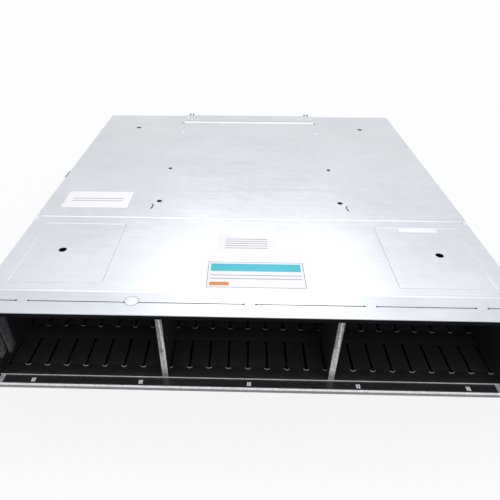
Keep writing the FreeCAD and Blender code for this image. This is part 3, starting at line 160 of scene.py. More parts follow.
stage_floor(TABLE_HALF, TABLE_LEVEL)
print("table:", 2 * TABLE_HALF, "m wide")

# %% World
world = bpy.data.worlds.new("studio_white")
bpy.context.scene.world = world
world.use_nodes = True
sky = world.node_tree
sky.nodes.clear()
rays = add(sky, "ShaderNodeLightPath")
eye_or_mirror = add(sky, "ShaderNodeMath",
                    {0: rays.outputs["Is Camera Ray"], 1: rays.outputs["Is Glossy Ray"]},
                    operation="MAXIMUM")
seen = add(sky, "ShaderNodeMath", {0: eye_or_mirror.outputs[0], 1: rays.outputs["Is Transmission Ray"]},
           operation="MAXIMUM")
fill = add(sky, "ShaderNodeBackground", {"Color": linear("F2F5FF"), "Strength": 0.62})
white = add(sky, "ShaderNodeBackground", {"Color": linear("FFFFFF"), "Strength": 1.0})
both = add(sky, "ShaderNodeMixShader", {0: seen.outputs[0], 1: fill.outputs[0], 2: white.outputs[0]})
add(sky, "ShaderNodeOutputWorld", {"Surface": both.outputs[0]})
print("world:", world.name)

# %% Lamps
def soft_box(name, place, aim, size, power):
    """A rectangular lamp that looks from its place at a point, in metres and watts."""
    lamp = bpy.data.lights.new(name, "AREA")
    lamp.shape = "RECTANGLE"
    lamp.size, lamp.size_y = size
    lamp.energy = power
    box = bpy.data.objects.new(name, lamp)
    bpy.context.scene.collection.objects.link(box)
    box.location = place
    box.rotation_euler = (Vector(aim) - Vector(place)).to_track_quat("-Z", "Y").to_euler()
    return box


soft_box("rear_soft_box", (0.07, 1.02, 1.02), (0.02, 0.06, 0.08), (0.75, 0.26), 2.35)
soft_box("rear_wide_box", (0.02, 1.05, 1.16), (0.0, 0.06, 0.08), (1.9, 0.5), 2.0)
soft_box("overhead_soft_box", (0.0, -0.3, 1.9), (0.0, 0.1, 0.05), (2.2, 1.1), 7.5)
front_box = soft_box("front_soft_box", (0.25, -1.5, 0.75), (0.0, 0.05, 0.04), (0.9, 0.6), 10.0)
front_box.visible_glossy = False
bpy.context.scene.view_settings.view_transform = "Standard"

# %% [markdown]
# ## Sheet steel
# The shell is hot-dip galvanised steel. Zinc freezes in large, faint crystals, and the rolling mill
# leaves fine streaks along the coil, here across the lid. Both change the roughness more than the colour,
# so they show when the light grazes. The bays are painted black, and the dividers keep a bare front fold.

# %% Galvanised sheet
def finish(name, colour, rough, metal=0.0):
    """A material with one principled shader, ready for its patterns."""
    made = bpy.data.materials.new(name)
    made.use_nodes = True
    tree = made.node_tree
    shader = tree.nodes["Principled BSDF"]
    shader.inputs["Base Color"].default_value = linear(colour)
    shader.inputs["Roughness"].default_value = rough
    shader.inputs["Metallic"].default_value = metal
    return made, tree, shader


def per_mm(size):
    """The scale of a pattern whose features are so many millimetres wide."""
    return 1 / (size * MM)


def zinc_pattern(tree, shader, pale, dark, smooth, coarse):
    """Crystals about 7 mm wide, streaks about 1.4 mm wide along X, and clouds about 90 mm wide."""
    # The streaks of a real mill are finer, and are drawn as coarse as they need to be to show.
    where = add(tree, "ShaderNodeTexCoord").outputs["Object"]
    crystal = add(tree, "ShaderNodeTexVoronoi", {"Vector": where, "Scale": per_mm(7)})
    grey = add(tree, "ShaderNodeSeparateColor", {0: crystal.outputs["Color"]}).outputs[0]
    along = add(tree, "ShaderNodeMapping", {0: where, 3: (0.015, 1, 1)})
    streak = add(tree, "ShaderNodeTexNoise", {"Vector": along.outputs[0], "Scale": per_mm(1.4),
                                              "Detail": 4.0})
    cloud = add(tree, "ShaderNodeTexNoise", {"Vector": where, "Scale": per_mm(90), "Detail": 4.0})
    lined = add(tree, "ShaderNodeMath", {0: streak.outputs["Fac"], 1: 0.6, 2: cloud.outputs["Fac"]},
                operation="MULTIPLY_ADD")
    blend = add(tree, "ShaderNodeMath", {0: grey, 1: 0.10, 2: lined.outputs[0]}, operation="MULTIPLY_ADD")
    tint = add(tree, "ShaderNodeMapRange", {0: blend.outputs[0], 1: 0.55, 2: 1.15})
    colour = add(tree, "ShaderNodeMix", {0: tint.outputs[0], 6: linear(dark), 7: linear(pale)},
                 data_type="RGBA")
    tree.links.new(colour.outputs[2], shader.inputs["Base Color"])
    mixed = add(tree, "ShaderNodeMath", {0: grey, 1: 0.25, 2: streak.outputs["Fac"]},
                operation="MULTIPLY_ADD")
    rough = add(tree, "ShaderNodeMapRange", {0: mixed.outputs[0], 1: 0.3, 2: 0.95, 3: smooth, 4: coarse})
    tree.links.new(rough.outputs[0], shader.inputs["Roughness"])
    bump = add(tree, "ShaderNodeBump", {"Strength": 0.10, "Distance": 0.02 * MM,
                                        "Height": streak.outputs["Fac"]})
    tree.links.new(bump.outputs[0], shader.inputs["Normal"])


# Galvanised sheet: pale cool grey, soft reflections broken by crystals and mill streaks.
galvanised, tree, shader = finish("galvanised_steel_sheet", "C4C8CD", 0.32, 1.0)
zinc_pattern(tree, shader, "D3D7DD", "C6CAD0", 0.28, 0.36)

# The same sheet on the header, duller and more uneven where hands hold it.
handled_zinc, tree, shader = finish("handled_galvanised_sheet", "C0C4CA", 0.43, 1.0)
zinc_pattern(tree, shader, "D1D5DB", "BCC0C7", 0.36, 0.50)
print("galvanised sheet:", galvanised.name, handled_zinc.name)

# %% Painted sheet
def paint_pattern(tree, shader, grain, depth):
    """The fine orange peel of sprayed paint and a little change of gloss."""
    where = add(tree, "ShaderNodeTexCoord").outputs["Object"]
    peel = add(tree, "ShaderNodeTexNoise", {"Vector": where, "Scale": per_mm(grain), "Detail": 2.0})
    wipe = add(tree, "ShaderNodeTexNoise", {"Vector": where, "Scale": per_mm(26), "Detail": 3.0})
    base = shader.inputs["Roughness"].default_value
    rough = add(tree, "ShaderNodeMapRange", {0: wipe.outputs["Fac"], 1: 0.3, 2: 0.7, 3: base - 0.07,
                                             4: base + 0.07})
    tree.links.new(rough.outputs[0], shader.inputs["Roughness"])
    bump = add(tree, "ShaderNodeBump", {"Strength": 0.12, "Distance": depth * MM,
                                        "Height": peel.outputs["Fac"]})
    tree.links.new(bump.outputs[0], shader.inputs["Normal"])


# Black powder paint inside the bays: nearly black, a broad dull shine.
black_paint, tree, shader = finish("black_painted_sheet", "1F1F21", 0.42)
paint_pattern(tree, shader, 0.9, 0.04)

# The sill is painted too, but rubbed smooth by drives going in, so it mirrors the dividers.
sill_paint, tree, shader = finish("rubbed_black_sill", "2C2B2D", 0.27)
paint_pattern(tree, shader, 1.4, 0.015)
print("painted sheet:", black_paint.name, sill_paint.name)

# %% [markdown]
# ## Walls and dividers with two finishes
# A side wall is galvanised outside and black where it lines a bay, and a divider is bare only on its
# front fold. Masking tape does this in the paint shop. Here a mask in the object's own coordinates does
# it, so one sheet carries both finishes and its edges stay where the solid has them.

# %% Masked finishes
def masked(name, outer, inner, tests):
    """Show `inner` where every test holds: (axis, absolute, 'LESS_THAN' or 'GREATER_THAN', millimetres)."""
    made = bpy.data.materials.new(name)
    made.use_nodes = True
    tree = made.node_tree
    tree.nodes.clear()
    where = add(tree, "ShaderNodeTexCoord").outputs["Object"]
    split = add(tree, "ShaderNodeSeparateXYZ", {0: where})
    mask = None
    for axis, absolute, side, limit in tests:
        reach = split.outputs[axis]
        if absolute:
            reach = add(tree, "ShaderNodeMath", {0: reach}, operation="ABSOLUTE").outputs[0]
        hit = add(tree, "ShaderNodeMath", {0: reach, 1: limit * MM}, operation=side).outputs[0]
        if mask is not None:
            hit = add(tree, "ShaderNodeMath", {0: mask, 1: hit}, operation="MULTIPLY").outputs[0]
        mask = hit
    colour = add(tree, "ShaderNodeMix", {0: mask, 6: linear(outer["pale"]), 7: linear(inner["pale"])},
                 data_type="RGBA")
    cloud = add(tree, "ShaderNodeTexNoise",
                {"Vector": where, "Scale": per_mm(outer["grain"]), "Detail": 3.0})
    shade = add(tree, "ShaderNodeMapRange",
                {0: cloud.outputs["Fac"], 1: 0.3, 2: 0.7, 3: outer.get("deep", 0.88), 4: 1.06})
    toned = add(tree, "ShaderNodeMix", {0: 1.0, 6: colour.outputs[2], 7: shade.outputs[0]},
                data_type="RGBA", blend_type="MULTIPLY")
    rough = add(tree, "ShaderNodeMapRange", {0: mask, 3: outer["rough"], 4: inner["rough"]})
    wave = add(tree, "ShaderNodeMath", {0: cloud.outputs["Fac"], 1: 0.12, 2: rough.outputs[0]},
               operation="MULTIPLY_ADD")
    metal = outer["metal"]
    if inner["metal"] != metal:
        metal = add(tree, "ShaderNodeMapRange", {0: mask, 3: metal, 4: inner["metal"]}).outputs[0]
    peel = add(tree, "ShaderNodeTexNoise", {"Vector": where, "Scale": per_mm(1.2), "Detail": 2.0})
    bump = add(tree, "ShaderNodeBump",
               {"Strength": 0.06, "Distance": 0.02 * MM, "Height": peel.outputs["Fac"]})
    shader = add(tree, "ShaderNodeBsdfPrincipled",
                 {"Base Color": toned.outputs[2], "Roughness": wave.outputs[0], "Metallic": metal,
                  "Normal": bump.outputs[0], "Specular IOR Level": outer.get("shine", 0.5)})
    add(tree, "ShaderNodeOutputMaterial", {"Surface": shader.outputs[0]})
    return made


print("helper ready:", masked.__name__)

# %% Sheets that carry two finishes
ZINC = {"pale": "C6CACF", "rough": 0.26, "metal": 1.0, "grain": 9}
PAINT = {"pale": "242426", "rough": 0.40, "metal": 0.0, "grain": 9}
WORN = {**PAINT, "grain": 3, "deep": 0.6}
BARE = {"pale": "CBCAC6", "rough": 0.30, "metal": 0.7}
CUT_EDGE = {"pale": "C9C8C4", "rough": 0.45, "metal": 0.1}
FLAT_COAT = {"pale": "1B1B1D", "rough": 0.70, "metal": 0.0, "grain": 9, "shine": 0.12}
# Painted shade: the lip behind the header's edge, darker than the ceiling's coat.
SHADED_LIP = {"pale": "060607", "rough": 0.80, "metal": 0.0}
# Painted shade: the base pan's zinc, darker than the lid's, as on the shaded foot of its front flange.
PAN_PAINTED_SHADE = {"pale": "8E8C8E", "rough": 0.36, "metal": 1.0, "grain": 4, "deep": 0.8}
# Painted highlight: the top of the front flange, where its round edge catches the light.
FLANGE_PAINTED_HIGHLIGHT = {"pale": "E9EAEC", "rough": 0.32, "metal": 0.5}
LINING_REACH, LINING_FRONT, LINING_REAR, LINING_TOP = 222.9, 2.1, 167.5, 81.0
FOLD_REAR, TRAY_EDGE, TRAY_UPPER, LIP_REAR, FLANGE_REAR, FLANGE_UPPER = 5.9, 5.2, 5.4, 2.2, 6.0, 3.3

# Side walls: bright zinc outside, black paint where they line a bay.
wall_metal = masked("galvanised_wall_lined_black", ZINC, PAINT,
                    [(0, True, "LESS_THAN", LINING_REACH), (1, False, "GREATER_THAN", LINING_FRONT),
                     (1, False, "LESS_THAN", LINING_REAR), (2, False, "LESS_THAN", LINING_TOP)])
# Dividers: paint worn by drives, and a bare steel fold in front that shines softly.
divider_metal = masked("divider_bare_fold", WORN, BARE, [(1, False, "LESS_THAN", FOLD_REAR)])
# The floor guide is black, with a dull pale line where it was cut after painting.
guide_metal = masked("floor_guide_cut_edge", PAINT, CUT_EDGE,
                     [(1, False, "LESS_THAN", TRAY_EDGE), (2, False, "GREATER_THAN", TRAY_UPPER)])
# The bays' ceiling has a flat black coat that hardly shines, and its lip is near black: painted shade.
ceiling_metal = masked("flat_black_ceiling_painted_shade_lip", FLAT_COAT, SHADED_LIP, [(1, False, "LESS_THAN", LIP_REAR)])
# The base pan's zinc is dull and painted darker as shade, and the top of its front flange is a painted
# highlight.
pan_metal = masked("galvanised_pan_painted_light", PAN_PAINTED_SHADE, FLANGE_PAINTED_HIGHLIGHT,
                   [(2, False, "GREATER_THAN", FLANGE_UPPER), (1, False, "LESS_THAN", FLANGE_REAR)])
print("masked finishes:",
      [coat.name for coat in (wall_metal, divider_metal, guide_metal, ceiling_metal, pan_metal)])

# %% [markdown]
# ## Small materials
# Behind the sheet metal the object is made of a few common things: glass-fibre boards, black moulded
# plastic, gold-flashed contacts, nickel-plated cages, extruded aluminium and paper stickers. None of them
# is one flat colour. Each gets the unevenness that its making leaves: a second tone spread through it at
# a real size, a fine relief that goes with it, and a change of gloss.

# %% Boards, plastics, plated parts and paper
def speckled(name, colour, rough, metal, other, grain, share, bump_mm):
    """A finish with a second tone spread through it and a matching fine relief."""
    made, tree, shader = finish(name, colour, rough, metal)
    where = add(tree, "ShaderNodeTexCoord").outputs["Object"]
    fleck = add(tree, "ShaderNodeTexNoise", {"Vector": where, "Scale": per_mm(grain), "Detail": 3.0})
    amount = add(tree, "ShaderNodeMapRange", {0: fleck.outputs["Fac"], 1: 0.35, 2: 0.65, 4: share})
    tone = add(tree, "ShaderNodeMix", {0: amount.outputs[0], 6: linear(colour), 7: linear(other)},
               data_type="RGBA")
    tree.links.new(tone.outputs[2], shader.inputs["Base Color"])
    gloss = add(tree, "ShaderNodeMapRange", {0: fleck.outputs["Fac"], 1: 0.3, 2: 0.7, 3: rough - 0.05,
                                             4: rough + 0.06})
    tree.links.new(gloss.outputs[0], shader.inputs["Roughness"])
    relief = add(tree, "ShaderNodeBump", {"Strength": 0.15, "Distance": bump_mm * MM,
                                          "Height": fleck.outputs["Fac"]})
    tree.links.new(relief.outputs[0], shader.inputs["Normal"])
    return made


# Epoxy board under green solder mask: deep green, glossy, a faint weave drawn 1 mm coarse so that it shows.
board_green = speckled("solder_mask_board", "12452F", 0.32, 0.0, "1B5A3D", 1.0, 0.8, 0.02)
# Glass-filled connector plastic: black, a little grey where the glass reaches the surface.
plug_black = speckled("glass_filled_nylon", "1A1A1B", 0.46, 0.0, "2A2A2B", 0.8, 0.6, 0.03)
# Moulded ABS: charcoal, with a spark-eroded grain drawn 0.6 mm coarse so that it shows.
abs_black = speckled("moulded_black_abs", "1C1D1F", 0.48, 0.0, "26272A", 0.6, 0.7, 0.05)
# Fan plastic: PBT, darker than the ABS and a little smoother.
fan_black = speckled("moulded_fan_pbt", "17171A", 0.42, 0.0, "222226", 0.9, 0.6, 0.03)
# Lever casting: blue-grey painted zinc with a satin shine.
lever_grey = speckled("painted_zinc_casting", "4A535C", 0.42, 0.0, "555F69", 0.8, 0.7, 0.04)
# Touch points are terracotta plastic, so that a hand finds them.
touch_clay = speckled("terracotta_polycarbonate", "B4532A", 0.40, 0.0, "BE5F34", 0.7, 0.7, 0.03)
# Nickel-plated cages: bright, slightly warm.
nickel = speckled("nickel_plated_cage", "C9C4B8", 0.24, 1.0, "B9B4A8", 4.0, 0.7, 0.02)
# Extruded aluminium of the heat sink: pale and dull.
fin_metal = speckled("extruded_aluminium", "C9CBCE", 0.38, 1.0, "B8BABD", 2.0, 0.8, 0.02)
# Keyhole lips: pale, dull steel, hardly a mirror; the paleness is a painted highlight for the bright
# crescents.
lip_highlight_steel = speckled("keyhole_lip_painted_highlight", "BDBCB8", 0.42, 0.35, "A09F9B", 1.0, 0.7, 0.02)
# Gold flash on contacts: warm yellow and bright.
gold = speckled("gold_flashed_contact", "D8B45A", 0.28, 1.0, "C69F48", 0.8, 0.6, 0.01)
# Plated screws and rivets: zinc, a trace of blue passivation.
fastener = speckled("passivated_zinc_fastener", "B9BEC4", 0.27, 1.0, "A9AFB8", 1.0, 0.7, 0.02)
# Rivet cores and posts: plain steel, dark and dull. The lid catch is given it as painted shade.
dark_steel_and_shade = speckled("dull_rivet_core_and_shade", "4B4A48", 0.55, 1.0, "3A3937", 0.6, 0.8, 0.03)
# Sticker stock: coated white paper with a soft sheen.
paper = speckled("coated_white_paper", "FBFBFA", 0.50, 0.0, "F4F4F3", 1.5, 0.6, 0.02)
# Polyester film inside the left bay: satin, painted mid grey as the shade of the bay, clouded by handling.
shaded_label_film = speckled("label_film_painted_shade", "77787B", 0.42, 0.0, "5C5D61", 3.0, 0.9, 0.02)
# Printing inks: matt greys, a little uneven where the sticker takes them.
ink = speckled("printed_grey_ink", "8A8B90", 0.55, 0.0, "7A7B80", 0.5, 0.7, 0.01)
dark_ink = speckled("printed_black_ink", "3C3C40", 0.55, 0.0, "4A4A4E", 1.5, 0.8, 0.01)
# Colour fields: denser ink with a faint gloss.
teal_ink = speckled("printed_turquoise_ink", "35BFD0", 0.45, 0.0, "3CC6D6", 2.0, 0.6, 0.01)
orange_ink = speckled("printed_orange_ink", "E5822E", 0.45, 0.0, "EA8B38", 2.0, 0.6, 0.01)
# Screen print on paint and plastic: a thick matt white.
white_ink = speckled("white_screen_print", "F4F5F5", 0.55, 0.0, "E6E7E8", 0.7, 0.7, 0.02)
print("finishes waiting for their pieces:", len([coat for coat in bpy.data.materials if coat.users == 0]))

# %% [markdown]
# ## Finishes on the solids
# Most solids already have the right shape, so they only change their material. The table lists them by
# the start of their names, longest match first.

# %% Dress the solids
DRESS = {"base_pan": galvanised, "front_sill": sill_paint, "side_wall": wall_metal,
         "front_header": handled_zinc, "front_cover": galvanised, "rear_cover": galvanised,
         "floor_guide": black_paint, "ceiling_guide": ceiling_metal, "divider": divider_metal,
         "midplane_bracket": black_paint, "midplane_standoffs": fastener, "midplane_board": board_green,
         "drive_connectors": plug_black, "module_connectors": plug_black, "rear_wall": galvanised,
         "controller_shelf": galvanised, "controller_tray": galvanised, "controller_lid": galvanised,
         "controller_board": board_green, "controller_heatsink": fin_metal,
         "controller_faceplate": galvanised, "controller_ports": nickel, "ejector_pins": fastener,
         "ejector": lever_grey, "psu_case": galvanised, "psu_faceplate": galvanised, "psu_inlet": abs_black,
         "psu_fan_frames": fan_black, "psu_handle": abs_black, "psu_board": board_green,
         "psu_fan": fan_black, "psu_switch": abs_black, "psu_latch": touch_clay}
for node, solid in NODES.items():
    start = max((key for key in DRESS if node.startswith(key)), key=len)
    solid.data.materials.clear()
    solid.data.materials.append(DRESS[start])
print("dressed", len(NODES), "solids in", len(set(DRESS.values())), "finishes")

# %% [markdown]
# ## Cutting sheet to an outline
# Sheet metal and moulded plates are flat shapes with openings and a thickness. They could be cut with
# booleans, but a filled 2D curve takes all the outlines at once, finds the openings by itself and eases
# every edge with its bevel. The mesh that it gives is welded and moved to its place.

# %% Plates
FLAT = Matrix.Identity(4)
UPRIGHT = Matrix.Rotation(math.pi / 2, 4, "X")
SIDEWAYS = Matrix(((0, 0, 1, 0), (1, 0, 0, 0), (0, 1, 0, 0), (0, 0, 0, 1)))
WELD, SLIVER = 1e-6, 1e-7


def welded(mesh):
    """Merge what belongs together and turn every face outwards."""
    work = bmesh.new()
    work.from_mesh(mesh)
    bmesh.ops.remove_doubles(work, verts=work.verts, dist=WELD)
    bmesh.ops.dissolve_degenerate(work, dist=SLIVER, edges=work.edges)
    bmesh.ops.recalc_face_normals(work, faces=work.faces)
    work.to_mesh(mesh)
    work.free()
    return mesh


def plate(outlines, thick, edge, turn=FLAT, lift=(0, 0, 0)):
    """A sheet in millimetres, half above and half below its plane, which is turned and then lifted."""
    curve = bpy.data.curves.new("outline", "CURVE")
    curve.dimensions, curve.fill_mode = "2D", "BOTH"
    curve.extrude = (thick / 2 - edge) * MM
    curve.bevel_depth, curve.bevel_resolution, curve.offset = edge * MM, 1, -edge * MM
    for outline in outlines:
        spline = curve.splines.new("POLY")
        spline.points.add(len(outline) - 1)
        for point, (x, y) in zip(spline.points, outline):
            point.co = (x * MM, y * MM, 0, 1)
        spline.use_cyclic_u = True
    holder = bpy.data.objects.new("outline", curve)
    bpy.context.scene.collection.objects.link(holder)
    mesh = bpy.data.meshes.new_from_object(holder.evaluated_get(bpy.context.evaluated_depsgraph_get()))
    bpy.data.objects.remove(holder)
    bpy.data.curves.remove(curve)
    mesh.transform(Matrix.Translation(Vector(lift) * MM) @ turn)
    return welded(mesh)


def joined(*meshes):
    """Several meshes as one."""
    work = bmesh.new()
    for mesh in meshes:
        work.from_mesh(mesh)
        bpy.data.meshes.remove(mesh)
    whole = bpy.data.meshes.new("joined")
    work.to_mesh(whole)
    work.free()
    return whole


print("plates lie flat, stand upright or sideways")

# %% Outlines
CORNER_STEPS = 5


def bow(x, y, radius, start, end, steps):
    """Points on an arc, angles in degrees."""
    turns = [math.radians(start + (end - start) * step / steps) for step in range(steps + 1)]
    return [(x + radius * math.cos(turn), y + radius * math.sin(turn)) for turn in turns]


def disc(x, y, radius, steps=40):
    """Points round a circle."""
    return bow(x, y, radius, 0, 360 - 360 / steps, steps - 1)


def pane(left, right, low, high, corner=0.0):
    """A rectangle, with round corners where asked."""
    if not corner:
        return [(left, low), (right, low), (right, high), (left, high)]
    left, right, low, high = left + corner, right - corner, low + corner, high - corner
    quarters = ((right, low, -90), (right, high, 0), (left, high, 90), (left, low, 180))
    return [point for x, y, start in quarters
            for point in bow(x, y, corner, start, start + 90, CORNER_STEPS)]


print("a test disc has", len(disc(0, 0, 1)), "points")

# %% Pieces that ride on a body
SHARP = math.radians(32)


def piece(name, mesh, coat, body, slot, *nodes, shade=True):
    """Show a mesh as a piece that rides on a body and stands for the solids named."""
    mesh.name = name
    if shade:
        mesh.shade_smooth()
        mesh.set_sharp_from_angle(angle=SHARP)
    if coat:
        mesh.materials.clear()
        mesh.materials.append(coat)
    thing = bpy.data.objects.new(name, mesh)
    bpy.context.scene.collection.objects.link(thing)
    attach(thing, body)
    if nodes:
        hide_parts(*nodes)
    return thing


def count(*things):
    """The number of faces of each piece."""
    return {thing.name: len(thing.data.polygons) for thing in things}


print("edges stay sharp from", round(math.degrees(SHARP)), "degrees")

# %% [markdown]
# ## Eased sheet edges
# Shears and press brakes leave edges that are slightly round, and that is what catches the light along
# the seams of the lid. A copy of each solid is welded, its flat triangles are joined, and a narrow bevel
# follows its upper edges. The lower ones stay sharp, because a sheet lies flat on the next one and shows
# no groove there. Punched openings and pressed slopes inside the outline get a quarter of the width, as a
# punch leaves them. Weighted normals let the large faces lead, so a flat sheet mirrors like a flat sheet
# up to its bevel.

# %% Eased copies of solids
RIM, PUNCHED, FLAT_ENOUGH, FOLDED = 1.3, 0.25, 0.02, math.radians(20)


def on_outline(edge, low, high):
    """Whether an edge runs along the outline of the sheet, within the rim."""
    middle = (edge.verts[0].co + edge.verts[1].co) / 2
    return any(min(middle[axis] - low[axis], high[axis] - middle[axis]) < RIM * MM for axis in (0, 1))


def eased_copy(node, width, above, coat, body, slot, segments=3, inner=PUNCHED, reshape=None):
    """Stand in for a solid with a copy whose edges above a level, in millimetres, are round."""
    mesh = welded(NODES[node].data.copy())
    low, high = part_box(node)
    work = bmesh.new()
    work.from_mesh(mesh)
    bmesh.ops.dissolve_limit(work, angle_limit=FLAT_ENOUGH, verts=work.verts, edges=work.edges)
    if reshape:
        reshape(work)
    weight = work.edges.layers.float.new("bevel_weight_edge")
    for edge in work.edges:
        bend = edge.calc_face_angle(0.0)
        upper = min(corner.co.z for corner in edge.verts) > above * MM
        if upper and bend > FOLDED:
            edge[weight] = 1.0 if on_outline(edge, low, high) else inner
        edge.smooth = edge[weight] > 0 or bend < SHARP
    for face in work.faces:
        face.smooth = True
    work.to_mesh(mesh)
    work.free()
    holder = bpy.data.objects.new(node, mesh)
    bpy.context.scene.collection.objects.link(holder)
    bevel = holder.modifiers.new("eased", "BEVEL")
    bevel.limit_method, bevel.width, bevel.segments = "WEIGHT", width * MM, segments
    leading = holder.modifiers.new("large_faces_lead", "WEIGHTED_NORMAL")
    leading.weight, leading.keep_sharp = 100, True
    done = bpy.data.meshes.new_from_object(holder.evaluated_get(bpy.context.evaluated_depsgraph_get()))
    holder.modifiers.clear()
    bpy.data.objects.remove(holder)
    bpy.data.meshes.remove(mesh)
    return piece(node + "_eased", done, coat, body, slot, node, shade=False)


print("punched edges get", PUNCHED, "of the bevel")

# %% Tighter corners of the pressed panels
# A panel of the lid: its edges across and along, the width of its side and end slopes, its corner radius.
PANEL_X, PANEL_Y, PANEL_SLOPES, PANEL_ROUND = (125.4, 207.7), (39.0, 141.6), (0.5, 0.9), 6.0
TIGHT_RIM, TIGHT_DISH, STEEPER, GENTLER = 2.4, 1.7, 0.4, 0.35
ARM_SLACK, RING_SLACK = 0.02, 0.06


def sharper_panels(work):
    """Give the panels tighter corners, steeper outer sides and gentler inner ones than the solid has."""
    middle = Vector((sum(PANEL_X), sum(PANEL_Y))) / 2
    half = Vector((PANEL_X[1], PANEL_Y[1])) - middle
    rings = [(Vector((0, 0)), PANEL_ROUND, TIGHT_RIM, STEEPER, 0.0),
             (Vector(PANEL_SLOPES), PANEL_ROUND - PANEL_SLOPES[1], TIGHT_DISH, 0.0, GENTLER)]
    for corner in work.verts:
        x, y = abs(corner.co.x) / MM - middle.x, corner.co.y / MM - middle.y
        for inset, wide, tight, outer, inner in rings:
            arm = Vector((abs(x), abs(y))) - half + inset + Vector((wide, wide))
            if min(arm) > -ARM_SLACK and abs(arm.length - wide) < RING_SLACK:
                moved = half - inset + (arm / wide - Vector((1, 1))) * tight
                moved.x -= outer if x > 0 else inner
                corner.co.x = math.copysign(middle.x + math.copysign(moved.x, x), corner.co.x) * MM
                corner.co.y = (middle.y + math.copysign(moved.y, y)) * MM
                break


print("corner radius of the panels:", PANEL_ROUND, "mm, drawn in to", TIGHT_RIM, "mm")

# %% Eased sheets of the lid, the sill, the base and the bays
SHEET, THIN_SHEET, TONGUE_RISE, CLEAR = 1.2, 0.8, 1.2, 0.05


def underside(node, sheet):
    """Just above the underside of a flat sheet, from its top."""
    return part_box(node)[1].z / MM - sheet + CLEAR


# Each row: the solid, the width of its bevel, the level above which it is eased, finish, slot, reshaping.
SHEETS = [("front_cover", 0.55, underside("front_cover", THIN_SHEET), galvanised, "zinc", sharper_panels),
          ("front_header", 0.5, underside("front_header", SHEET), handled_zinc, "zinc", None),
          ("rear_cover", 0.55, underside("rear_cover", THIN_SHEET + TONGUE_RISE), galvanised, "zinc", None),
          ("base_pan", 0.55, SHEET + CLEAR, pan_metal, "zinc", None),
          ("front_sill", 0.5, underside("front_sill", SHEET), sill_paint, "black_sheet", None)]
SHEETS += [(node, 0.6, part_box(node)[0].z / MM + 2 * CLEAR, divider_metal, "bare_sheet", None)
           for node in ("divider_left", "divider_right")]
for node, width, above, coat, slot, reshape in SHEETS:
    print(count(eased_copy(node, width, above, coat, "chassis", slot, reshape=reshape)))

# %% [markdown]
# ## Hems and pressed steps
# Where a sheet laps over another, its edge is rolled down in a narrow slope, and so are the step of the
# tongue and the rear edge of each pressed panel. These slopes face the eye and mirror the light above, so
# they are the bright lines across the lid. Each is a long wedge with one outline. At the sides of the lid
# the seam runs out in a longer, flatter wedge. A small spring catch grips the left edge of the lid.

# %% Bright slopes across the lid
HEM_RUN, FRONT_RUN, SINK, TUCK, REACH, SHORTER = 1.2, 1.5, 0.06, 0.1, 0.7, 0.3
TONGUE_Y, TONGUE_RUN, TONGUE_REACH, TONGUE_HALF = 463.0, 1.15, 4.4, 101.0
FADE, FADE_RUN = 3.7, 7.0
PANEL_MIDDLE, PANEL_HALF, PANEL_REAR, PANEL_RUN, PANEL_FOOT = 166.5, 38.6, 141.0, 1.0, 0.6
front_low, front_high = (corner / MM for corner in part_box("front_cover"))
rear_low, rear_high = (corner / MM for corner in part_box("rear_cover"))
lid_top, tongue_top = rear_high.z - TONGUE_RISE, rear_high.z
front_foot, lid_foot = front_high.z - THIN_SHEET - SINK, lid_top - THIN_SHEET - SINK
hem_half = rear_high.x - SHORTER - FADE


def slope_strip(foot, top, run, reach, half, middle=0.0):
    """A wedge along X: its slope climbs from the foot (y, z) to a top level, then it runs on level."""
    y, z = foot
    outline = [(y, z), (y + run + reach, z), (y + run + reach, top), (y + run, top)]
    return plate([outline], 2 * half, 0.0, SIDEWAYS, (middle, 0, 0))


strips = [slope_strip((front_low.y - FRONT_RUN, front_foot), front_high.z, FRONT_RUN - TUCK, REACH,
                      front_high.x - SHORTER),
          slope_strip((rear_low.y - HEM_RUN, lid_foot), lid_top, HEM_RUN - TUCK, REACH, hem_half),
          slope_strip((TONGUE_Y, lid_top - SINK), tongue_top, TONGUE_RUN, TONGUE_REACH, TONGUE_HALF)]
for side in (-1, 1):
    strips.append(slope_strip((rear_low.y - FADE_RUN, lid_foot), lid_top, FADE_RUN - TUCK, REACH, FADE / 2,
                              side * (hem_half + FADE / 2)))
    strips.append(slope_strip((PANEL_REAR - PANEL_RUN, front_high.z - PANEL_FOOT), front_high.z, PANEL_RUN,
                              REACH, PANEL_HALF, side * PANEL_MIDDLE))
wedges = joined(*strips)
wedges.shade_flat()
hem_strips = piece("lid_slopes", wedges, galvanised, "chassis", "zinc", shade=False)
print(count(hem_strips))

# %% Lid catch
CATCH_Y, CATCH_OUT, CATCH_THICK = (252.0, 272.0), 1.6, 2.2
CATCH_GRIP, CATCH_TAPER, CATCH_DROP = 0.2, 1.5, 0.4
grip, free = -rear_high.x + CATCH_GRIP, -rear_high.x - CATCH_OUT
catch_outline = [(grip, CATCH_Y[0]), (grip, CATCH_Y[1]), (free, CATCH_Y[1] - CATCH_TAPER),
                 (free, CATCH_Y[0] + CATCH_TAPER)]
catch_plate = plate([catch_outline], CATCH_THICK, 0.2, lift=(0, 0, lid_top - CATCH_DROP - CATCH_THICK / 2))
# The catch is painted dark grey for the shadow along the edge of the lid.
catch = piece("lid_catch", catch_plate, dark_steel_and_shade, "chassis", "zinc")
print(count(catch))

# %% [markdown]
# ## Floor of the bays
# The floor guide is a punched tray. Every drive hooks into keyholes, so the slots of the two front rows
# have a round head. A small curved lip at the front of each head is painted pale, a painted highlight
# for the bright crescent there. The front edge of the tray was cut after painting, so it is bare. The
# tray is one plate with all its slots; the lips are one small curved strip, set on the heads by a node tree.

# %% Lines of slots
PITCH_MM, GAP_MM, MIDDLE_BAY, LINE_COUNT, KEYHOLE_ROWS = 17.7, 7.0, 4, 12, 2
SLOT_WIDE, HEAD_RADIUS, SLOT_LONG, ROW_STEP, FIRST_HEAD = 2.2, 2.3, 35.0, 53.5, 19.0


